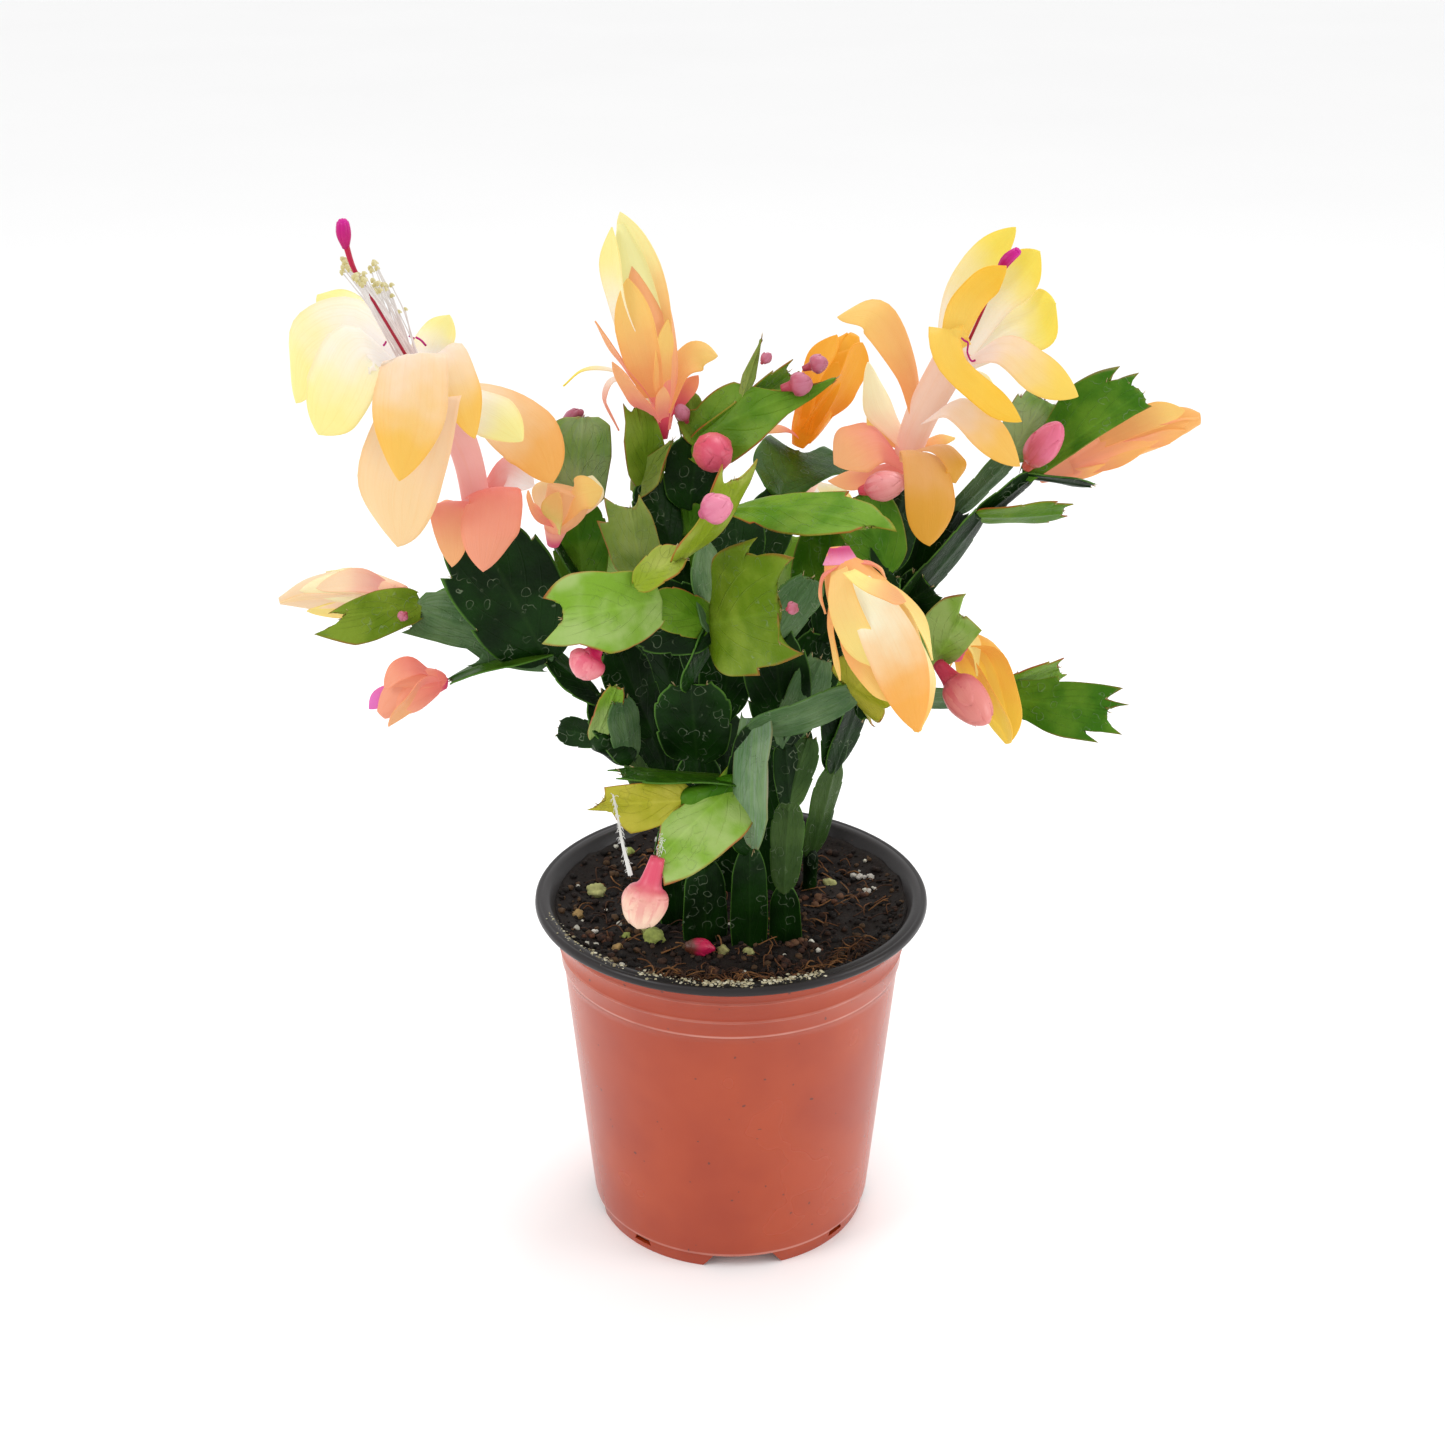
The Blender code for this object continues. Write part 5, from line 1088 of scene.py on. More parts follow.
BLOOM_HUES = {
    "bloom_a": "BpkyyyhkyAjptpy", "bloom_b": "vpyvopoppomlz", "bloom_c": "dddddp",
    "bloom_d": "wwlqllsqloxpopbbco", "bloom_e": "eeeeoee", "bloom_f": "ofaiuioppof", "bloom_g": "nnnin",
    "bloom_h": "CxCxhi", "bloom_i": "jjpjD", "bloom_j": "ppopgxh", "bloom_back": "wwyyyylo",
}
print("hues:", " ".join(HUES))

# %% [markdown]
# ## Growing a petal
# A petal is broad past its middle and pointed at its end. Its cross-section is cupped towards the axis,
# with a faint fold along the middle and a ripple at the margins, and it thins out towards them.

# %% One petal
PETAL_ROWS = 22
TIP_CROWDING = 1.3
PETAL_ACROSS = (-1.0, -0.9, -0.7, -0.45, -0.2, 0.0, 0.2, 0.45, 0.7, 0.9, 1.0)
BROADEST = 0.55
PETAL_FOOT = 0.26
POINTED_TIP = 1.9
PETAL_CUP = 0.2
CURVE_STEP = 0.02


def petal_half_width(along, tip_shape):
    """Half of the width as a share of the greatest. A larger tip shape gives a blunter end."""
    if along < BROADEST:
        return PETAL_FOOT + (0.5 - PETAL_FOOT) * math.sin(along / BROADEST * math.pi / 2)
    return 0.5 * (1.0 - ((along - BROADEST) / (1.0 - BROADEST)) ** tip_shape) ** 0.85 + 0.006


def petal(bm, places, width, axis, marks, tip_shape=POINTED_TIP, turn=0.0):
    points = [at(*place) for place in places]
    out = points[-1] - points[0] - (points[-1] - points[0]).project(axis)
    middle = points[1] - points[0] - (points[1] - points[0]).project(axis)
    level = axis.cross(out.normalized() + middle.normalized() * 0.5).normalized()
    draw = marks[0] * math.tau

    def lay(row, side):
        share = 1.0 - (1.0 - row / PETAL_ROWS) ** TIP_CROWDING
        here = curve_point(points, share)
        ahead = curve_point(points, min(share + CURVE_STEP, 1.0))
        behind = curve_point(points, max(share - CURVE_STEP, 0.0))
        along = (ahead - behind).normalized()
        wide = (level - level.dot(along) * along).normalized()
        wide = Matrix.Rotation(math.radians(turn) * min(share * 1.6, 1.0), 3, along) @ wide
        inward = wide.cross(along)
        half = petal_half_width(share, tip_shape) * width
        lift = PETAL_CUP * abs(side) ** 1.6 * half + 0.05 * half * math.exp(-(side * 6.0) ** 2)
        lift += 0.07 * half * side * side * math.sin(share * 11.0 + draw + side * 1.7)
        return here + wide * side * half + inward * lift

    sheet(bm, PETAL_ROWS, PETAL_ACROSS, lay, lambda side: 0.5 - 0.3 * side * side, marks)


# %% Bodies and furled petals
FURLED = {"bloom_b": 4, "bloom_c": 5, "bloom_e": 4, "bloom_g": 2, "bloom_h": 4, "bloom_i": 3}
OVARIES = {
    "bloom_b": "8e1c38 d04a5c", "bloom_f": "cc4c80 f49cc0", "bloom_g": "c83460 ea6c8c",
    "bloom_i": "c83c68 ee8078", "bloom_j": "d8587c f0a08c",
}
GOLDEN_TURN = math.radians(137.5)


def placed(stations):
    return [(at(x, z, depth), radius) for x, z, depth, radius in stations]


def bloom_body(bm, name, stations, hue, furled_hue):
    stations = placed(stations)
    spine = spindle(bm, stations, 24, 28, (draws.random(), *hue), 28)
    for index in range(FURLED.get(name, 0)):
        low = 0.08 + 0.05 * index
        high = min(0.66 + 0.08 * index, 0.99)
        marks = (draws.random(), *furled_hue)
        scale_leaf(bm, spine, low, high, index * GOLDEN_TURN, 1.15, marks, 0.22, 0.3, 16)
    if name in OVARIES:
        (low, thin), (high, thick) = stations[0], stations[1]
        middle = low.lerp(high, 0.6)
        ovary = [(low, thin * 1.08), (middle, (thin + thick) * 0.56), (high, thick * 1.04)]
        spindle(bm, ovary, 20, 14, (draws.random(), *colours(OVARIES[name])), 12)


# %% All the blooms
for bloom_name, (stations, petals) in BLOOMS.items():
    bm = new_body()
    body_hue, furled_hue, *petal_hues = [HUES[letter] for letter in BLOOM_HUES[bloom_name]]
    bloom_body(bm, bloom_name, stations, body_hue, furled_hue)
    body = placed(stations)
    axis = (body[-1][0] - body[0][0]).normalized()
    for hue, (places, width, *tip_shape) in zip(petal_hues, petals):
        petal(bm, places, width, axis, (draws.random(), *hue), *tip_shape)
    finish_piece(bm, bloom_name + "_fine", bloom_name, "petal", PETAL_SILK)

# %% [markdown]
# ## Stamens and pistils
# Bloom A is wide open. A brush of white filaments with cream anthers stands round its crimson style, whose
# stigma is a small magenta club of lobes. They are drawn out along gentle curves, because real ones bend.


# %% Finishes of the flower's centre
def satin_finish(name, rough, painted_glow):
    """A satin skin whose colour runs from the root mark to the tip mark, with a painted glow in that colour.
    """
    made = Finish(name, Specular_IOR_Level=0.3, Emission_Strength=painted_glow)
    _, along, draw = made.mark("place")
    root = made.carried("root")
    tip = made.carried("tip")
    cloud = made.noise(made.spot(), 400.0, 3.0)
    tint = (along + (cloud - 0.5) * 0.3).fade(0.1, 0.9).blend(root, tip) * (cloud * 0.3 + 0.85)
    return made.wear(
        Base_Color=tint * (1.0 - painted_glow), Emission_Color=tint, Roughness=rough + cloud * 0.2,
        Normal=made.relief(cloud, 0.3, 0.0003),
    )


# Painted glow: the pistils glow a little, the white filaments and fibre strongly, so they keep little shade.
SATIN = satin_finish("pistil_satin", 0.35, 0.12)
GLOWING_FILAMENT_WHITE = satin_finish("filament_white_painted_glow", 0.5, 0.55)

# %% Stamens of bloom A
STAMEN_ROOT = (-80.8, 249, -31)
ANTHER_CLUSTERS = (
    ((-96.5, 275.6, -42), 16), ((-93.0, 272.4, -47), 14), ((-89.2, 275.8, -34), 6), ((-88.8, 270.3, -36), 12),
    ((-86.3, 269.6, -33), 9), ((-82.9, 264.6, -31), 2),
)
FILAMENT = colours("fbe4de fff8f2")
ANTHER = colours("e6d68c f8efc0")
CLUSTER_SPREAD = 1.4
ROOT_SPREAD = 2.0


def shift(reach):
    return Vector([draws.uniform(-reach, reach) for _ in range(3)])


def stamen(bm, root, end, bend):
    middle = root.lerp(end, 0.55) + bend
    neck = middle.lerp(end, 0.94)
    spindle(bm, [(root, 0.26), (middle, 0.2), (neck, 0.15)], 6, 9, (0.0, *FILAMENT), 8)
    anther = (neck - middle).normalized().orthogonal().normalized() * 0.45
    spindle(bm, [(neck - anther, 0.2), (end, 0.5), (neck + anther * 1.5, 0.2)], 8, 8, (0.0, *ANTHER), 6)


bm = new_body()
root = at(*STAMEN_ROOT)
for place, count in ANTHER_CLUSTERS:
    for index in range(count):
        stamen(bm, root + shift(ROOT_SPREAD), at(*place) + shift(CLUSTER_SPREAD), shift(1.2))
finish_piece(bm, "stamens_of_bloom_a", None, "petal", GLOWING_FILAMENT_WHITE)

# %% Pistils, each a style and the club of its stigma
PISTILS = {
    "pistil_a": (
        (
            (-82.0, 251.5, -38, 0.4), (-87.3, 261.5, -42, 0.36), (-91.8, 270, -44.5, 0.4),
            (-94.5, 275, -45, 0.6), (-96.1, 281.5, -45, 0.75),
        ),
        ((-96.0, 279.8, -45, 0.8), (-96.3, 283.2, -45, 1.8), (-96.3, 286.2, -45.2, 1.5)),
    ),
    "pistil_d": (
        ((59.9, 256.5, -1.6, 0.4), (63.5, 265.5, -3.5, 0.4), (66.4, 273.6, -6, 0.5)),
        ((66.3, 273.2, -7, 0.8), (68.3, 276.8, -9, 1.5), (70.8, 279.0, -9, 1.2)),
    ),
}
STYLE = colours("a80a2c c00840")
STIGMA = colours("c4006c dc0098")
STIGMA_LOBES = 6
for pistil_name, (style, club) in PISTILS.items():
    bm = new_body()
    spindle(bm, placed(style), 10, 20, (0.1, *STYLE))
    club = placed(club)
    heading = (club[2][0] - club[0][0]).normalized()
    aside = heading.orthogonal().normalized()
    for lobe in range(STIGMA_LOBES):
        push = Matrix.Rotation(math.tau * lobe / STIGMA_LOBES, 3, heading) @ aside
        stops = [(place + push * radius * 0.45, radius * 0.55) for place, radius in club]
        stops.append((stops[-1][0] + heading * 0.5 + push * 0.3, 0.25))
        spindle(bm, stops, 8, 12, (0.5, *STIGMA), 10)
    finish_piece(bm, pistil_name + "_fine", pistil_name, "pistil", SATIN)

# %% The magenta ring in each throat
THROAT_MARKS = {
    "bloom_a": (
        ((-81.6, 257.8, -27), (-80.8, 257.3, -27), (-80.2, 257.0, -27)),
        ((-79.9, 257.4, -27), (-78.6, 256.6, -27), (-77.4, 255.2, -28)),
        ((-88.2, 255.2, -30), (-87.8, 255.6, -30), (-87.4, 256.3, -30)),
    ),
    "bloom_d": (
        ((56.9, 258.5, -5), (58.6, 256.6, -5), (59.7, 255.9, -5), (59.6, 253.6, -5.5), (60.4, 251.6, -6)),
        ((60.4, 251.6, -6), (61.0, 251.2, -6), (61.8, 251.5, -6)),
    ),
}
THROAT = colours("d0148c c80a78")
for bloom_name, marks in THROAT_MARKS.items():
    bm = new_body()
    for places in marks:
        spindle(bm, [(at(*place), 0.28) for place in places], 6, 14, (0.0, *THROAT), 12)
    finish_piece(bm, "throat_of_" + bloom_name, None, "pistil", SATIN)

# %% [markdown]
# ## Buds
# A bud is wrapped in overlapping scales, the lower ones short and the upper ones long. So a smooth spindle
# is the core, and scales hug it, each a golden turn on from the last.

# %% Bud skin
def bud_finish():
    """A satin skin with fine veins, a painted glow, and painted shade as a dark line where each scale ends.
    """
    # Painted glow: the bud gives off its own colour as light.
    made = Finish("bud_satin", Specular_IOR_Level=0.4, Emission_Strength=0.15)
    across, along, draw = made.mark("place")
    root = made.carried("root")
    tip = made.carried("tip")
    cloud = made.noise(made.spot(), 300.0, 3.0)
    veins = made.noise(made.vector(across * 7.0, along * 0.8, draw * 23.0), 2.5, 3.0)
    tint = (along + (cloud - 0.5) * 0.25).fade(0.12, 0.7).blend(root, tip)
    tint = (veins.fade(0.45, 0.7) * 0.35).blend(tint, tint * (0.92, 0.7, 0.72))
    # Painted shade: a dark line along the edge of each scale, where it overlaps the next.
    edge = abs(across).fade(0.84, 1.0) * made.noise(made.spot(), 160.0).fade(0.35, 0.6)
    tint = (edge * 0.55).blend(tint, tint * (0.62, 0.34, 0.36))
    relief = made.relief(veins, 0.3, 0.0003)
    return made.wear(Base_Color=tint, Emission_Color=tint, Roughness=0.28 + cloud * 0.2, Normal=relief)


BUD_SATIN = bud_finish()

# %% Measured buds: base, tip, greatest radius, and the share of the length that is stalk
BUDS = {
    "bud_top_end_on": ((-6.6, 228.4, 0.6), (-3.2, 226.2, -12.9), 5.3, 0.2),
    "bud_on_folded_segment": ((-8.0, 210.4, -54), (-0.4, 213.9, -57.5), 3.7, 0.15),
    "bud_left_round": ((-35.6, 173.6, -47.5), (-41.5, 164.5, -50), 4.9, 0.25),
    "bud_top_right": ((12.6, 244.2, 0.2), (20.4, 246, -1.3), 3.0, 0.3),
    "bud_top_far": ((18.0, 249.2, 5.8), (24.2, 251.4, 4.8), 2.4, 0.3),
    "bud_behind_pale": ((-38.6, 238.0, 11.4), (-42.5, 234, 18.4), 2.8, 0.2),
    "bud_top_small": ((7.5, 250.6, 3.5), (9.6, 253.2, 1.8), 1.3, 0.2),
    "bud_under_bloom": ((33.6, 216.9, -1.1), (44.7, 219.6, -11.5), 4.0, 0.2),
    "bud_right": ((76.2, 223, 10.7), (84.2, 235, 3.2), 4.3, 0.15),
    "bud_right_low": ((55.6, 168.4, -17.7), (69.6, 151, -34.7), 5.6, 0.28),
    "bud_front_low": ((-20.5, 110.0, -47.8), (-26.4, 87.6, -52), 6.2, 0.36),
    "bud_on_olive": ((14.6, 184, -51.5), (17.6, 184.6, -52.6), 1.6, 0.2),
    "bud_red_top": ((-11.4, 235.2, 5.6), (-13.8, 239.8, 2.6), 1.8, 0.2),
    "bud_far_top_left": ((-58.9, 236.9, 10.2), (-60.8, 242.4, 10), 1.9, 0.2),
    "bud_left_end": ((-86.4, 183.2, -12.2), (-88.4, 181.0, -13.6), 1.4, 0.2),
}
BUD_SHAPE = ((0.0, 0.5), (0.16, 0.86), (0.42, 1.0), (0.75, 0.76), (0.93, 0.4), (1.0, 0.1))
STALK_RADIUS_SHARE = 0.3
BUD_HUES = {
    "bud_top_end_on": "e8845c d8506c", "bud_right_low": "cc3454 e88c84", "bud_right": "c8584c e46c8c",
    "bud_front_low": "e0506c fbd8bc", "bud_left_round": "d8205c ee8c94", "bud_under_bloom": "dc4058 f4a0a0",
    "bud_on_folded_segment": "c05078 e888a4", "bud_behind_pale": "a84c64 cc84a0",
}
PINK_BUD = "b03c50 c8748c"
BUD_SCALES = 6


# %% All the buds
def blushed(hue, share):
    """The bud's own colour at a share of its length, for a scale that starts or ends there."""
    return tuple(Vector(hue[0]).lerp(Vector(hue[1]), min(max((share - 0.12) / 0.58, 0.0), 1.0)))


def bud_scales(bm, stations, stalk_share, hue):
    spine = spindle(bm, stations, 28, 26, (draws.random(), *hue), 30)
    for index in range(BUD_SCALES):
        low = stalk_share * 0.9 + 0.02 * index
        high = min(stalk_share + (1.0 - stalk_share) * (0.4 + 0.12 * index), 0.99)
        marks = (draws.random(), blushed(hue, low), blushed(hue, high))
        scale_leaf(bm, spine, low, high, index * GOLDEN_TURN + draws.random(), 1.1, marks, 0.1, 0.1, 12)


for bud_name, (base, tip, radius, stalk_share) in BUDS.items():
    bm = new_body()
    low, high = at(*base), at(*tip)
    stations = [(low, radius * STALK_RADIUS_SHARE)]
    for share, fat in BUD_SHAPE:
        stations.append((low.lerp(high, stalk_share + (1.0 - stalk_share) * share), radius * fat * 0.96))
    bud_scales(bm, stations, stalk_share, colours(BUD_HUES.get(bud_name, PINK_BUD)))
    finish_piece(bm, bud_name + "_fine", bud_name, "bud", BUD_SATIN)

# %% The fallen bud
FALLEN_BUD = (
    (-12.4, -25.8, 2.6, 1.3), (-9.6, -25.9, 2.7, 2.3), (-7.0, -26.2, 2.7, 2.2), (-4.4, -26.6, 2.5, 0.3),
)
bm = new_body()
stations = [(Vector((x, y, SOIL_TOP + lift)), radius) for x, y, lift, radius in FALLEN_BUD]
bud_scales(bm, stations, 0.1, colours("5c3020 c81c50"))
finish_piece(bm, "fallen_bud_fine", "fallen_bud", "bud", BUD_SATIN)

# %% [markdown]
# ## The white fibre
# A dry air root hangs from the low front leaf. It is a thin white thread with a woolly fuzz of finer ones,
# and more of the fuzz clings to the leaf's tip.

# %% Thread and fuzz
THREAD = (
    (-32.6, 129.5, -45, 0.4), (-31.2, 121, -47, 0.5), (-30.2, 114, -49, 0.7), (-28.2, 104.5, -50.5, 1.1),
)
SCURF_PLACE = (-19.6, 112.2, -46.6)
FUZZ_HAIRS = 70
SCURF_HAIRS = 50
HAIR_DROP = 0.8
WOOL = colours("e9e7de f6f5f0")
bm = new_body()
thread = placed(THREAD)
spindle(bm, [(point, radius * 0.6) for point, radius in thread], 8, 20, (0.0, *WOOL))
line = [point for point, _ in thread]


def hair(bm, here, away, reach):
    end = here + away * reach * 1.6 + Vector((0, 0, -HAIR_DROP))
    spindle(bm, [(here, 0.1), (here + away * reach, 0.07), (end, 0.04)], 5, 6, (0.0, *WOOL), 5)


for index in range(FUZZ_HAIRS):
    hair(bm, curve_point(line, draws.uniform(0.0, 0.98)), shift(1.0), 0.8)
for index in range(SCURF_HAIRS):
    hair(bm, at(*SCURF_PLACE) + Vector((draws.gauss(0, 0.7), -0.2, draws.gauss(0, 3.0))), shift(0.7), 0.7)
finish_piece(bm, "white_fibre_fine", "white_fibre", "fibre", GLOWING_FILAMENT_WHITE)

# %% [markdown]
# ## The pot
# It is a thermoformed growers' pot: a thin wall, terracotta outside and black inside, with fine ridges
# under a broad rolled rim, and with notches and drain slots in its foot ring. Its profile is spun round the
# axis, and blocks cut the notches and slots.


# %% Pot finishes
def plastic_finish(name, dark, light, rough, shine):
    made = Finish(name, Specular_IOR_Level=shine)
    spot = made.spot()
    cloud = made.noise(spot, 30.0, 3.0)
    specks = made.noise(spot, 700.0, 0.0).fade(0.83, 0.86)
    tint = cloud.fade(0.3, 0.7).blend(dark, light)
    height = made.node("ShaderNodeSeparateXYZ", inputs={0: spot}, output=2)
    # Painted highlight: a pale line along each ridge, the step and the foot's edge, broken up in patches.
    highlight_patches = made.noise(spot, 60.0, 2.0).fade(0.35, 0.6)
    for ridge, strength in PAINTED_RIDGE_HIGHLIGHTS:
        line = 1.0 - abs(height - ridge * MM).fade(0.0002, 0.0006)
        tint = (line * (highlight_patches * 0.5 + 0.5) * strength).blend(tint, tint * 0.5 + (0.4, 0.22, 0.18))
    tint = (specks * 0.7).blend(tint, (0.05, 0.02, 0.015))
    waves = made.noise(spot, 45.0, 1.0) + made.noise(spot, 1500.0, 2.0) * 0.05
    relief = made.relief(waves, 0.25, 0.0012)
    return made.wear(Base_Color=tint, Roughness=rough + cloud * 0.12, Normal=relief)


UPPER_RIDGE = 91.5
LOWER_RIDGE = 85.8
# Heights of the painted highlight lines, with how strong each is.
PAINTED_RIDGE_HIGHLIGHTS = ((UPPER_RIDGE, 0.3), (LOWER_RIDGE, 0.4), (81.0, 0.7), (4.9, 0.7))
TERRACOTTA = plastic_finish("terracotta_plastic", colour("b03c16"), colour("c04a1e"), 0.2, 0.5)
BLACK_PLASTIC = plastic_finish("black_plastic", colour("1c1718"), colour("282324"), 0.3, 0.3)

# %% The pot's profile
POT_SIDES = 128
BASE_RADIUS = 40.3
FOOT_HEIGHT = 4.5
WALL = 1.2
SHOULDER_RADIUS = 47.5
COLLAR_RADIUS = 48.9
SHOULDER = 80.4
COLLAR_TOP = 96.4
RIDGE_DEPTH = 0.35
RIM_RADIUS = 55.0
RIM_INNER_RADIUS = 51.0
RIM_LIP = 2.6


def spun(bm, profile, sides):
    verts = [bm.verts.new((radius, 0.0, height)) for radius, height in profile]
    edges = [bm.edges.new(pair) for pair in zip(verts, verts[1:])]
    bmesh.ops.spin(
        bm, geom=edges + verts, axis=(0, 0, 1), cent=(0, 0, 0), angle=math.tau, steps=sides, use_merge=True,
    )
    bmesh.ops.remove_doubles(bm, verts=bm.verts[:], dist=0.001)


def wall_radius(height):
    """The outer wall between the foot and the shoulder, which widens evenly."""
    share = (height - FOOT_HEIGHT) / (SHOULDER - FOOT_HEIGHT)
    return BASE_RADIUS + (SHOULDER_RADIUS - BASE_RADIUS) * share


def pot_profile():
    foot = BASE_RADIUS - 0.5
    points = [(0.0, FOOT_HEIGHT), (foot - 1.6, FOOT_HEIGHT), (foot - 2.2, 0.4), (foot - 2.0, 0.0)]
    points += [(foot - 0.9, 0.0), (foot - 0.7, 0.4)]
    points += [(BASE_RADIUS - 1.0, FOOT_HEIGHT - 0.3), (BASE_RADIUS - 0.1, FOOT_HEIGHT)]
    for height in (5.2, 8.0, 20.0, 35.0, 50.0, 65.0, 78.0, SHOULDER):
        points.append((wall_radius(height), height))
    collar_foot = SHOULDER_RADIUS + 0.6
    points += [(SHOULDER_RADIUS + 0.45, SHOULDER + 0.35), (collar_foot, SHOULDER + 0.8)]
    for height in (85.3, LOWER_RIDGE, 86.3, 91.0, UPPER_RIDGE, 92.0):
        share = (height - SHOULDER) / (COLLAR_TOP - SHOULDER)
        ridge = RIDGE_DEPTH if height in (LOWER_RIDGE, UPPER_RIDGE) else 0.0
        points.append((collar_foot + (COLLAR_RADIUS - SHOULDER_RADIUS - 0.6) * share + ridge, height))
    points += [(COLLAR_RADIUS, 95.6), (COLLAR_RADIUS + 1.0, COLLAR_TOP)]
    points.append((RIM_RADIUS - 1.2, POT_HEIGHT - RIM_LIP - 0.2))
    for inset, height in (
        (0.3, 97.6), (0.0, 98.2), (0.1, 99.2), (0.5, 99.8),
        (1.0, 100.0), (1.5, 99.75), (1.8, 99.75), (2.2, 99.95),
    ):
        points.append((RIM_RADIUS - inset, height))
    points += [(RIM_INNER_RADIUS + 0.5, 99.9), (RIM_INNER_RADIUS - 0.2, 99.3)]
    points += [(COLLAR_RADIUS - WALL, 94.4), (COLLAR_RADIUS - WALL - 0.6, 80.0)]
    points += [(BASE_RADIUS - WALL, FOOT_HEIGHT + WALL), (0.0, FOOT_HEIGHT + WALL)]
    return points


# %% Spin the pot and cut its foot
NOTCH_COUNT = 4
NOTCH_TURN = 5.0
NOTCH_WIDTHS = (24.0, 16.0)
NOTCH_ROOF = FOOT_HEIGHT - 0.25
DRAIN_WIDTH = 6.0
DRAIN_FLOOR = FOOT_HEIGHT - 2.6


def foot_cutter(turn, low_width, high_width, low, high):
    """A block across the foot ring, wider at the ground than at the top."""
    bm = bmesh.new()
    bmesh.ops.create_cube(bm, size=1.0)
    for vert in bm.verts:
        width = high_width if vert.co.z > 0 else low_width
        radius = BASE_RADIUS + (4.0 if vert.co.x > 0 else -7.0)
        vert.co = (radius, math.copysign(width / 2, vert.co.y), high if vert.co.z > 0 else low)
    bmesh.ops.rotate(bm, verts=bm.verts[:], cent=(0, 0, 0), matrix=Matrix.Rotation(turn, 3, "Z"))
    bmesh.ops.transform(bm, matrix=TO_MODEL, verts=bm.verts[:])
    return as_object(bm, "cutter")


bm = bmesh.new()
spun(bm, pot_profile(), POT_SIDES)
bmesh.ops.recalc_face_normals(bm, faces=bm.faces[:])
for face in bm.faces:
    middle = face.calc_center_median()
    inward = face.normal.x * middle.x + face.normal.y * middle.y < -0.1 or face.normal.z > 0.9
    inside = inward and middle.z > FOOT_HEIGHT + 1.0
    face.material_index = 1 if middle.z > 97.0 or inside else 0
pot = finish_piece(bm, "pot_fine", "pot", "pot", TERRACOTTA, BLACK_PLASTIC)
cutters = bpy.data.collections.new("cutters")
bpy.context.scene.collection.children.link(cutters)
for index in range(NOTCH_COUNT):
    turn = math.radians(NOTCH_TURN + 360.0 / NOTCH_COUNT * index - 90.0)
    cutters.objects.link(foot_cutter(turn, *NOTCH_WIDTHS, -1.0, NOTCH_ROOF))
    turn += math.pi / NOTCH_COUNT
    cutters.objects.link(foot_cutter(turn, DRAIN_WIDTH, DRAIN_WIDTH * 0.7, DRAIN_FLOOR, NOTCH_ROOF))
notches = pot.modifiers.new("notches", "BOOLEAN")
notches.operation = "DIFFERENCE"
notches.operand_type = "COLLECTION"
notches.collection = cutters
pot.data = bpy.data.meshes.new_from_object(pot.evaluated_get(bpy.context.evaluated_depsgraph_get()))
pot.modifiers.clear()
for cutter in list(cutters.objects):
    bpy.data.objects.remove(cutter)
bpy.data.collections.remove(cutters)
pot.data.set_sharp_from_angle(angle=math.radians(50.0))
print("pot:", len(pot.data.polygons), "faces")

# %% [markdown]
# ## The soil
# Potting mix is dark peat in crumbs, with brown fibres, yellow-green porous granules and white perlite. A
# bumpy disc that is banked up to the wall is the ground. Crumbs, granules and fibres are strewn over it by
# seeded draws, and some crumbs lie on the pot's rim.


# %% Peat
def peat_finish():
    made = Finish("peat", Specular_IOR_Level=0.3)
    spot = made.spot()
    _, along, _ = made.mark("place")
    root = made.carried("root")
    cloud = made.noise(spot, 500.0, 4.0)
    tint = root * (cloud * 1.6 + 0.2)
    return made.wear(Base_Color=tint, Roughness=0.75 + cloud * 0.2, Normal=made.relief(cloud, 0.8, 0.0008))


PEAT = peat_finish()
PEAT_DARK = colour("1c120d")
CRUMB_HUES = colours("140d0a 241712 3c261a 1c130e 58402a 120c0a")
SOIL_RADIUS = 49.4
BANK_HEIGHT = 3.8
BANK_FOOT = 37.0
SOIL_RINGS = 44


def soil_height(x, y):
    """Lumpy, and banked up against the wall nearly to the rim."""
    bank = min(max((math.hypot(x, y) - BANK_FOOT) / (SOIL_RADIUS - BANK_FOOT), 0.0), 1.0)
    lump = noise.noise(Vector((x, y, 3.0)) * 0.16) + 0.5 * noise.noise(Vector((x, y, 9.0)) * 0.4)
    fine = 0.35 * noise.noise(Vector((x, y, 5.0)) * 1.1) + 0.15 * noise.noise(Vector((x, y, 7.0)) * 2.6)
    return SOIL_TOP + BANK_HEIGHT * bank * bank + (1.0 - 0.6 * bank) * (1.6 * lump + fine)


# %% Ground, crumbs and fibres
CRUMBS = 2600
CLUMP_CRUMBS = 16
CLUMPS = (
    (20.0, -21.0, 2.6), (-3.0, -36.0, 2.4), (15.0, -30.0, 3.0), (25.0, 6.0, 2.4), (35.0, 9.0, 2.4),
    (-36.0, -18.0, 2.0),
)
CLUMP_HUES = colours("5a3826 43281c 6a4a34 2c1a12")


def lump(bm, place, radius, squash, tint, fineness):
    made = bmesh.ops.create_icosphere(bm, subdivisions=fineness, radius=1.0)["verts"]
    offset = Vector((draws.uniform(0, 90), draws.uniform(0, 90), 0))
    for vert in made:
        set_marks(bm, vert, 0.0, 0.0, (0.0, tint, tint))
        size = radius * (1.0 + 0.45 * noise.noise(vert.co * 1.6 + offset))
        vert.co = place + Vector((vert.co.x * size, vert.co.y * size, vert.co.z * size * squash))


def on_soil(radius_limit=48.6):
    radius, angle = radius_limit * math.sqrt(draws.random()), draws.uniform(0.0, math.tau)
    return radius * math.cos(angle), radius * math.sin(angle)


def settled(x, y, lift):
    return Vector((x, y, soil_height(x, y) + lift))


def strewn(x, y, spread_x, spread_y, lift):
    """A place on the soil somewhere round (x, y)."""
    place = Vector((x + draws.gauss(0, spread_x), y + draws.gauss(0, spread_y), 0.0))
    place.z = soil_height(place.x, place.y) + lift
    return place


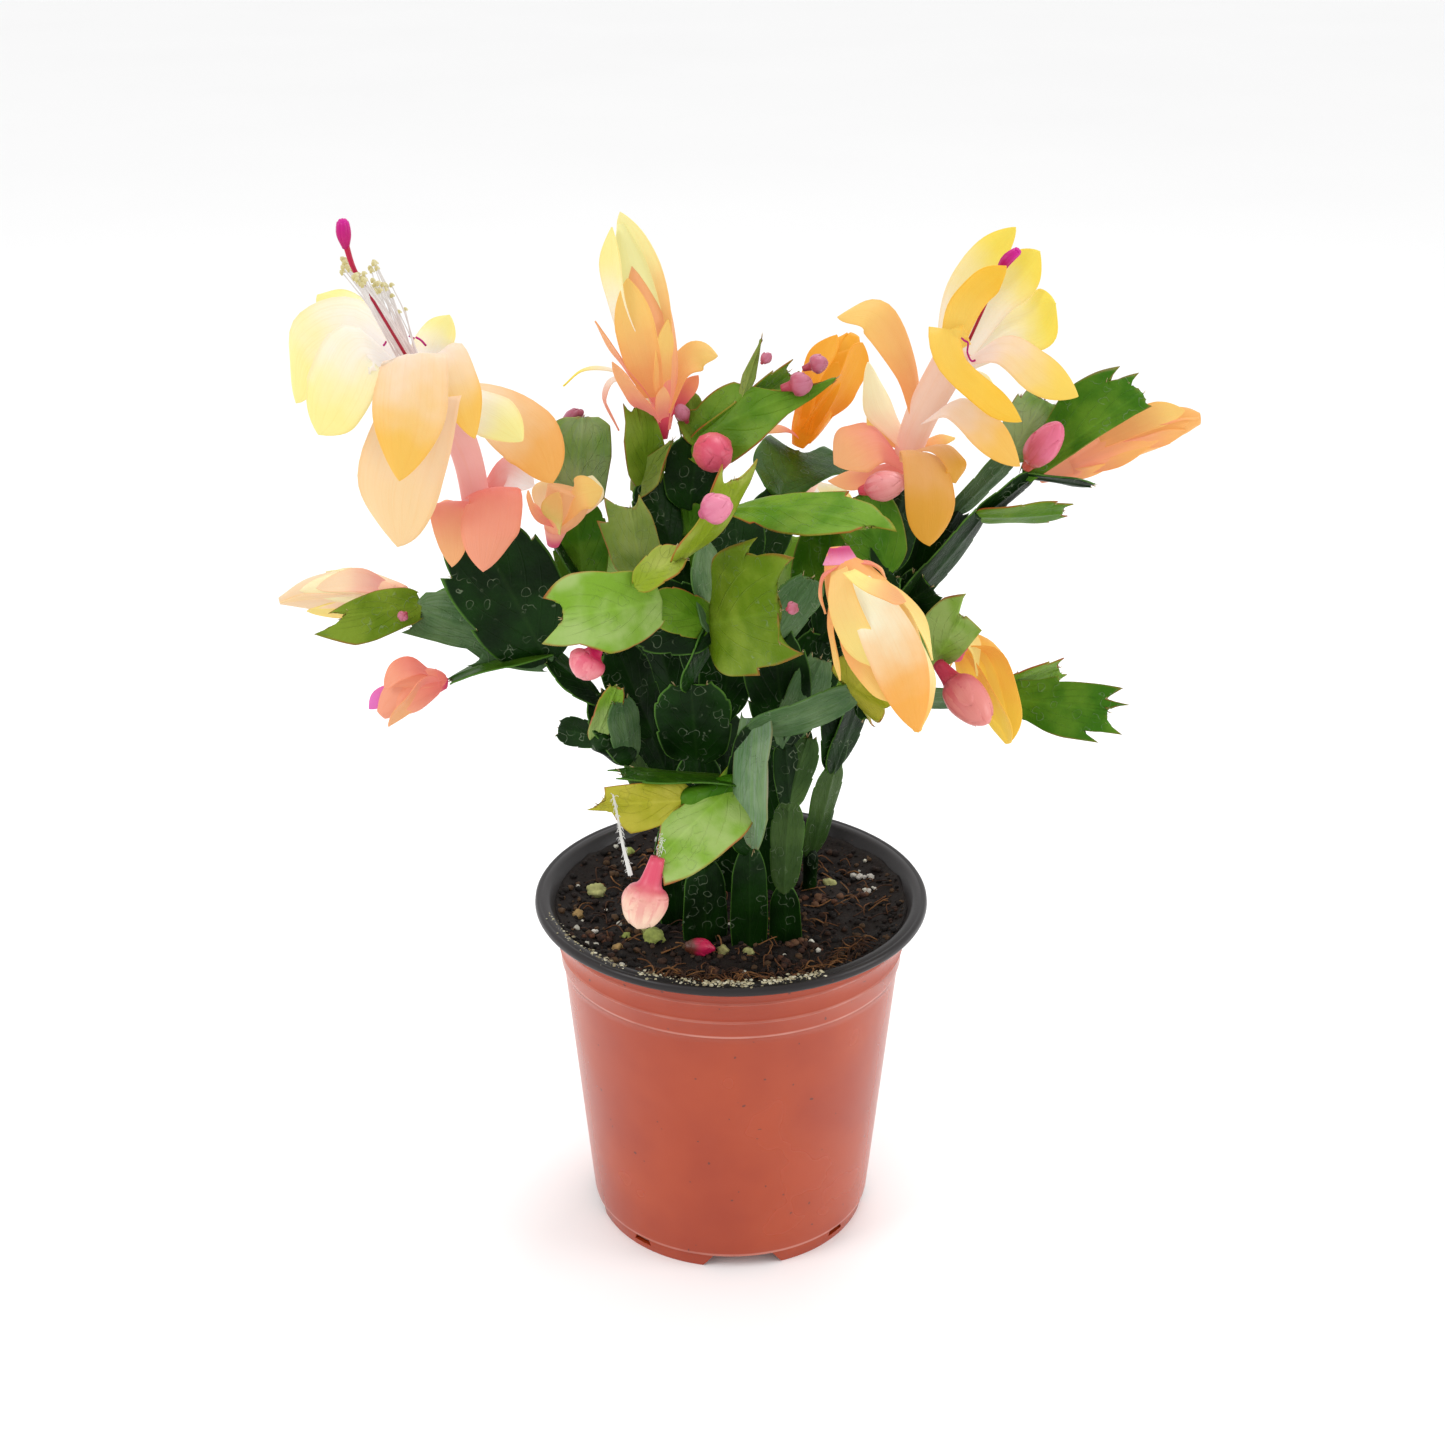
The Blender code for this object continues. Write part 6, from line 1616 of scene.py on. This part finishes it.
bm = new_body()
profile = [(0.0, 6.0), (38.6, 6.0), (45.9, 92.0), (47.3, 94.4)]
profile += [(SOIL_RADIUS * (1.0 - ring / SOIL_RINGS), SOIL_TOP) for ring in range(SOIL_RINGS + 1)]
spun(bm, profile, 120)
for vert in bm.verts:
    set_marks(bm, vert, 0.0, 0.0, (0.0, PEAT_DARK, PEAT_DARK))
    if abs(vert.co.z - SOIL_TOP) < 0.1:
        vert.co.z = soil_height(vert.co.x, vert.co.y)
for index in range(CRUMBS):
    x, y = on_soil()
    radius = 0.25 + 1.1 * draws.random() ** 3
    lump(bm, settled(x, y, radius * 0.3), radius, 0.8, draws.choice(CRUMB_HUES), 1)
for x, y, spread in CLUMPS:
    for index in range(CLUMP_CRUMBS):
        place = strewn(x, y, spread, spread * 0.5, 0.4)
        lump(bm, place, draws.uniform(0.5, 1.3), 0.7, draws.choice(CLUMP_HUES), 2)
finish_piece(bm, "soil_fine", "soil", "soil", PEAT)

# %% Granules and perlite
GRANULES = (
    (-38.6, 9.8, 2.9), (-21.2, -18.4, 2.8), (-31.0, -22.0, 1.7), (-2.2, -23.5, 1.8), (4.6, -24.0, 1.7),
    (-30.0, 33.0, 1.6), (-43.0, -4.6, 1.7), (-24.1, -13.0, 1.5), (28.4, 14.8, 1.8), (-28.9, -16.5, 1.1),
    (18.0, 35.0, 2.4), (-14.0, 36.0, 1.8),
)
LOOSE_PERLITE = 46
PERLITE_CLUSTERS = ((37.5, 18.0, 9), (41.0, 9.0, 3), (-38.0, -14.0, 2), (-24.0, 14.0, 3))
RIM_CRUMBS = ((-118.0, -98.0, 110), (-98.0, -84.0, 200), (-82.0, -62.0, 220), (-165.0, -122.0, 130))
GRANULE_HUES = colours("b8b878 a0ac58 b0905c a8a468")
RIM_HUES = colours("c9c09e a89c7c dcd6bc")
bm = new_body()
for index, (x, y, radius) in enumerate(GRANULES):
    lump(bm, settled(x, y, radius * 0.25), radius, 0.8, GRANULE_HUES[index % len(GRANULE_HUES)], 3)
for index in range(LOOSE_PERLITE):
    x, y = on_soil()
    radius = draws.uniform(0.35, 0.9)
    lump(bm, settled(x, y, radius * 0.6), radius, 0.85, colour("d8d4c6"), 2)
for x, y, count in PERLITE_CLUSTERS:
    for index in range(count):
        place = strewn(x, y, 1.3, 0.9, 0.6)
        lump(bm, place, draws.uniform(0.5, 1.0), 0.85, colour("e2dcd2"), 2)
for low, high, count in RIM_CRUMBS:
    for index in range(count):
        angle, radius = math.radians(draws.uniform(low, high)), draws.gauss(51.8, 0.8)
        size = 0.12 + 0.5 * draws.random() ** 3
        place = Vector((radius * math.cos(angle), radius * math.sin(angle), POT_HEIGHT - 0.1))
        lump(bm, place, size, 0.35, draws.choice(RIM_HUES), 1)
finish_piece(bm, "granules", None, "soil", PEAT)

# %% Brown fibres
FIBRE_HUES = colours("6b4426 4c2f1c 8a5e36 3a2418")
FIBRES = 420
FIRST_FRONT_FIBRE = 261
bm = new_body()
for index in range(FIBRES):
    x, y = on_soil(44.0)
    if index >= FIRST_FRONT_FIBRE:
        turn, radius = draws.uniform(-2.1, -0.5), draws.uniform(38.0, 44.0)
        x, y = radius * math.cos(turn), radius * math.sin(turn)
    turn, length = draws.uniform(0.0, math.tau), draws.uniform(2.5, 9.0)
    points = []
    for step, rise in enumerate((0.3, draws.uniform(0.6, 2.2), 0.3)):
        px = x + math.cos(turn + step * 0.3) * length * (step - 1) / 2
        py = y + math.sin(turn + step * 0.3) * length * (step - 1) / 2
        points.append((settled(px, py, rise), draws.uniform(0.1, 0.26)))
    tint = draws.choice(FIBRE_HUES)
    spindle(bm, points, 5, 8, (0.0, tint, tint), 7)
finish_piece(bm, "peat_fibres", None, "soil", PEAT)

# %% [markdown]
# ## Bristles
# Every notch and tip of a segment holds an areole, a small cushion from which a few stiff hairs grow.

# %% Areoles
BRISTLE = colours("8a6438 dcc896")
BRISTLES_EACH = 3
bm = new_body()
for place, heading in areoles:
    for index in range(BRISTLES_EACH):
        end = place + (heading + shift(0.5)) * draws.uniform(0.6, 1.4)
        spindle(bm, [(place, 0.13), (place.lerp(end, 0.5), 0.09), (end, 0.04)], 4, 5, (0.0, *BRISTLE), 4)
finish_piece(bm, "bristles", None, "segment", SATIN)
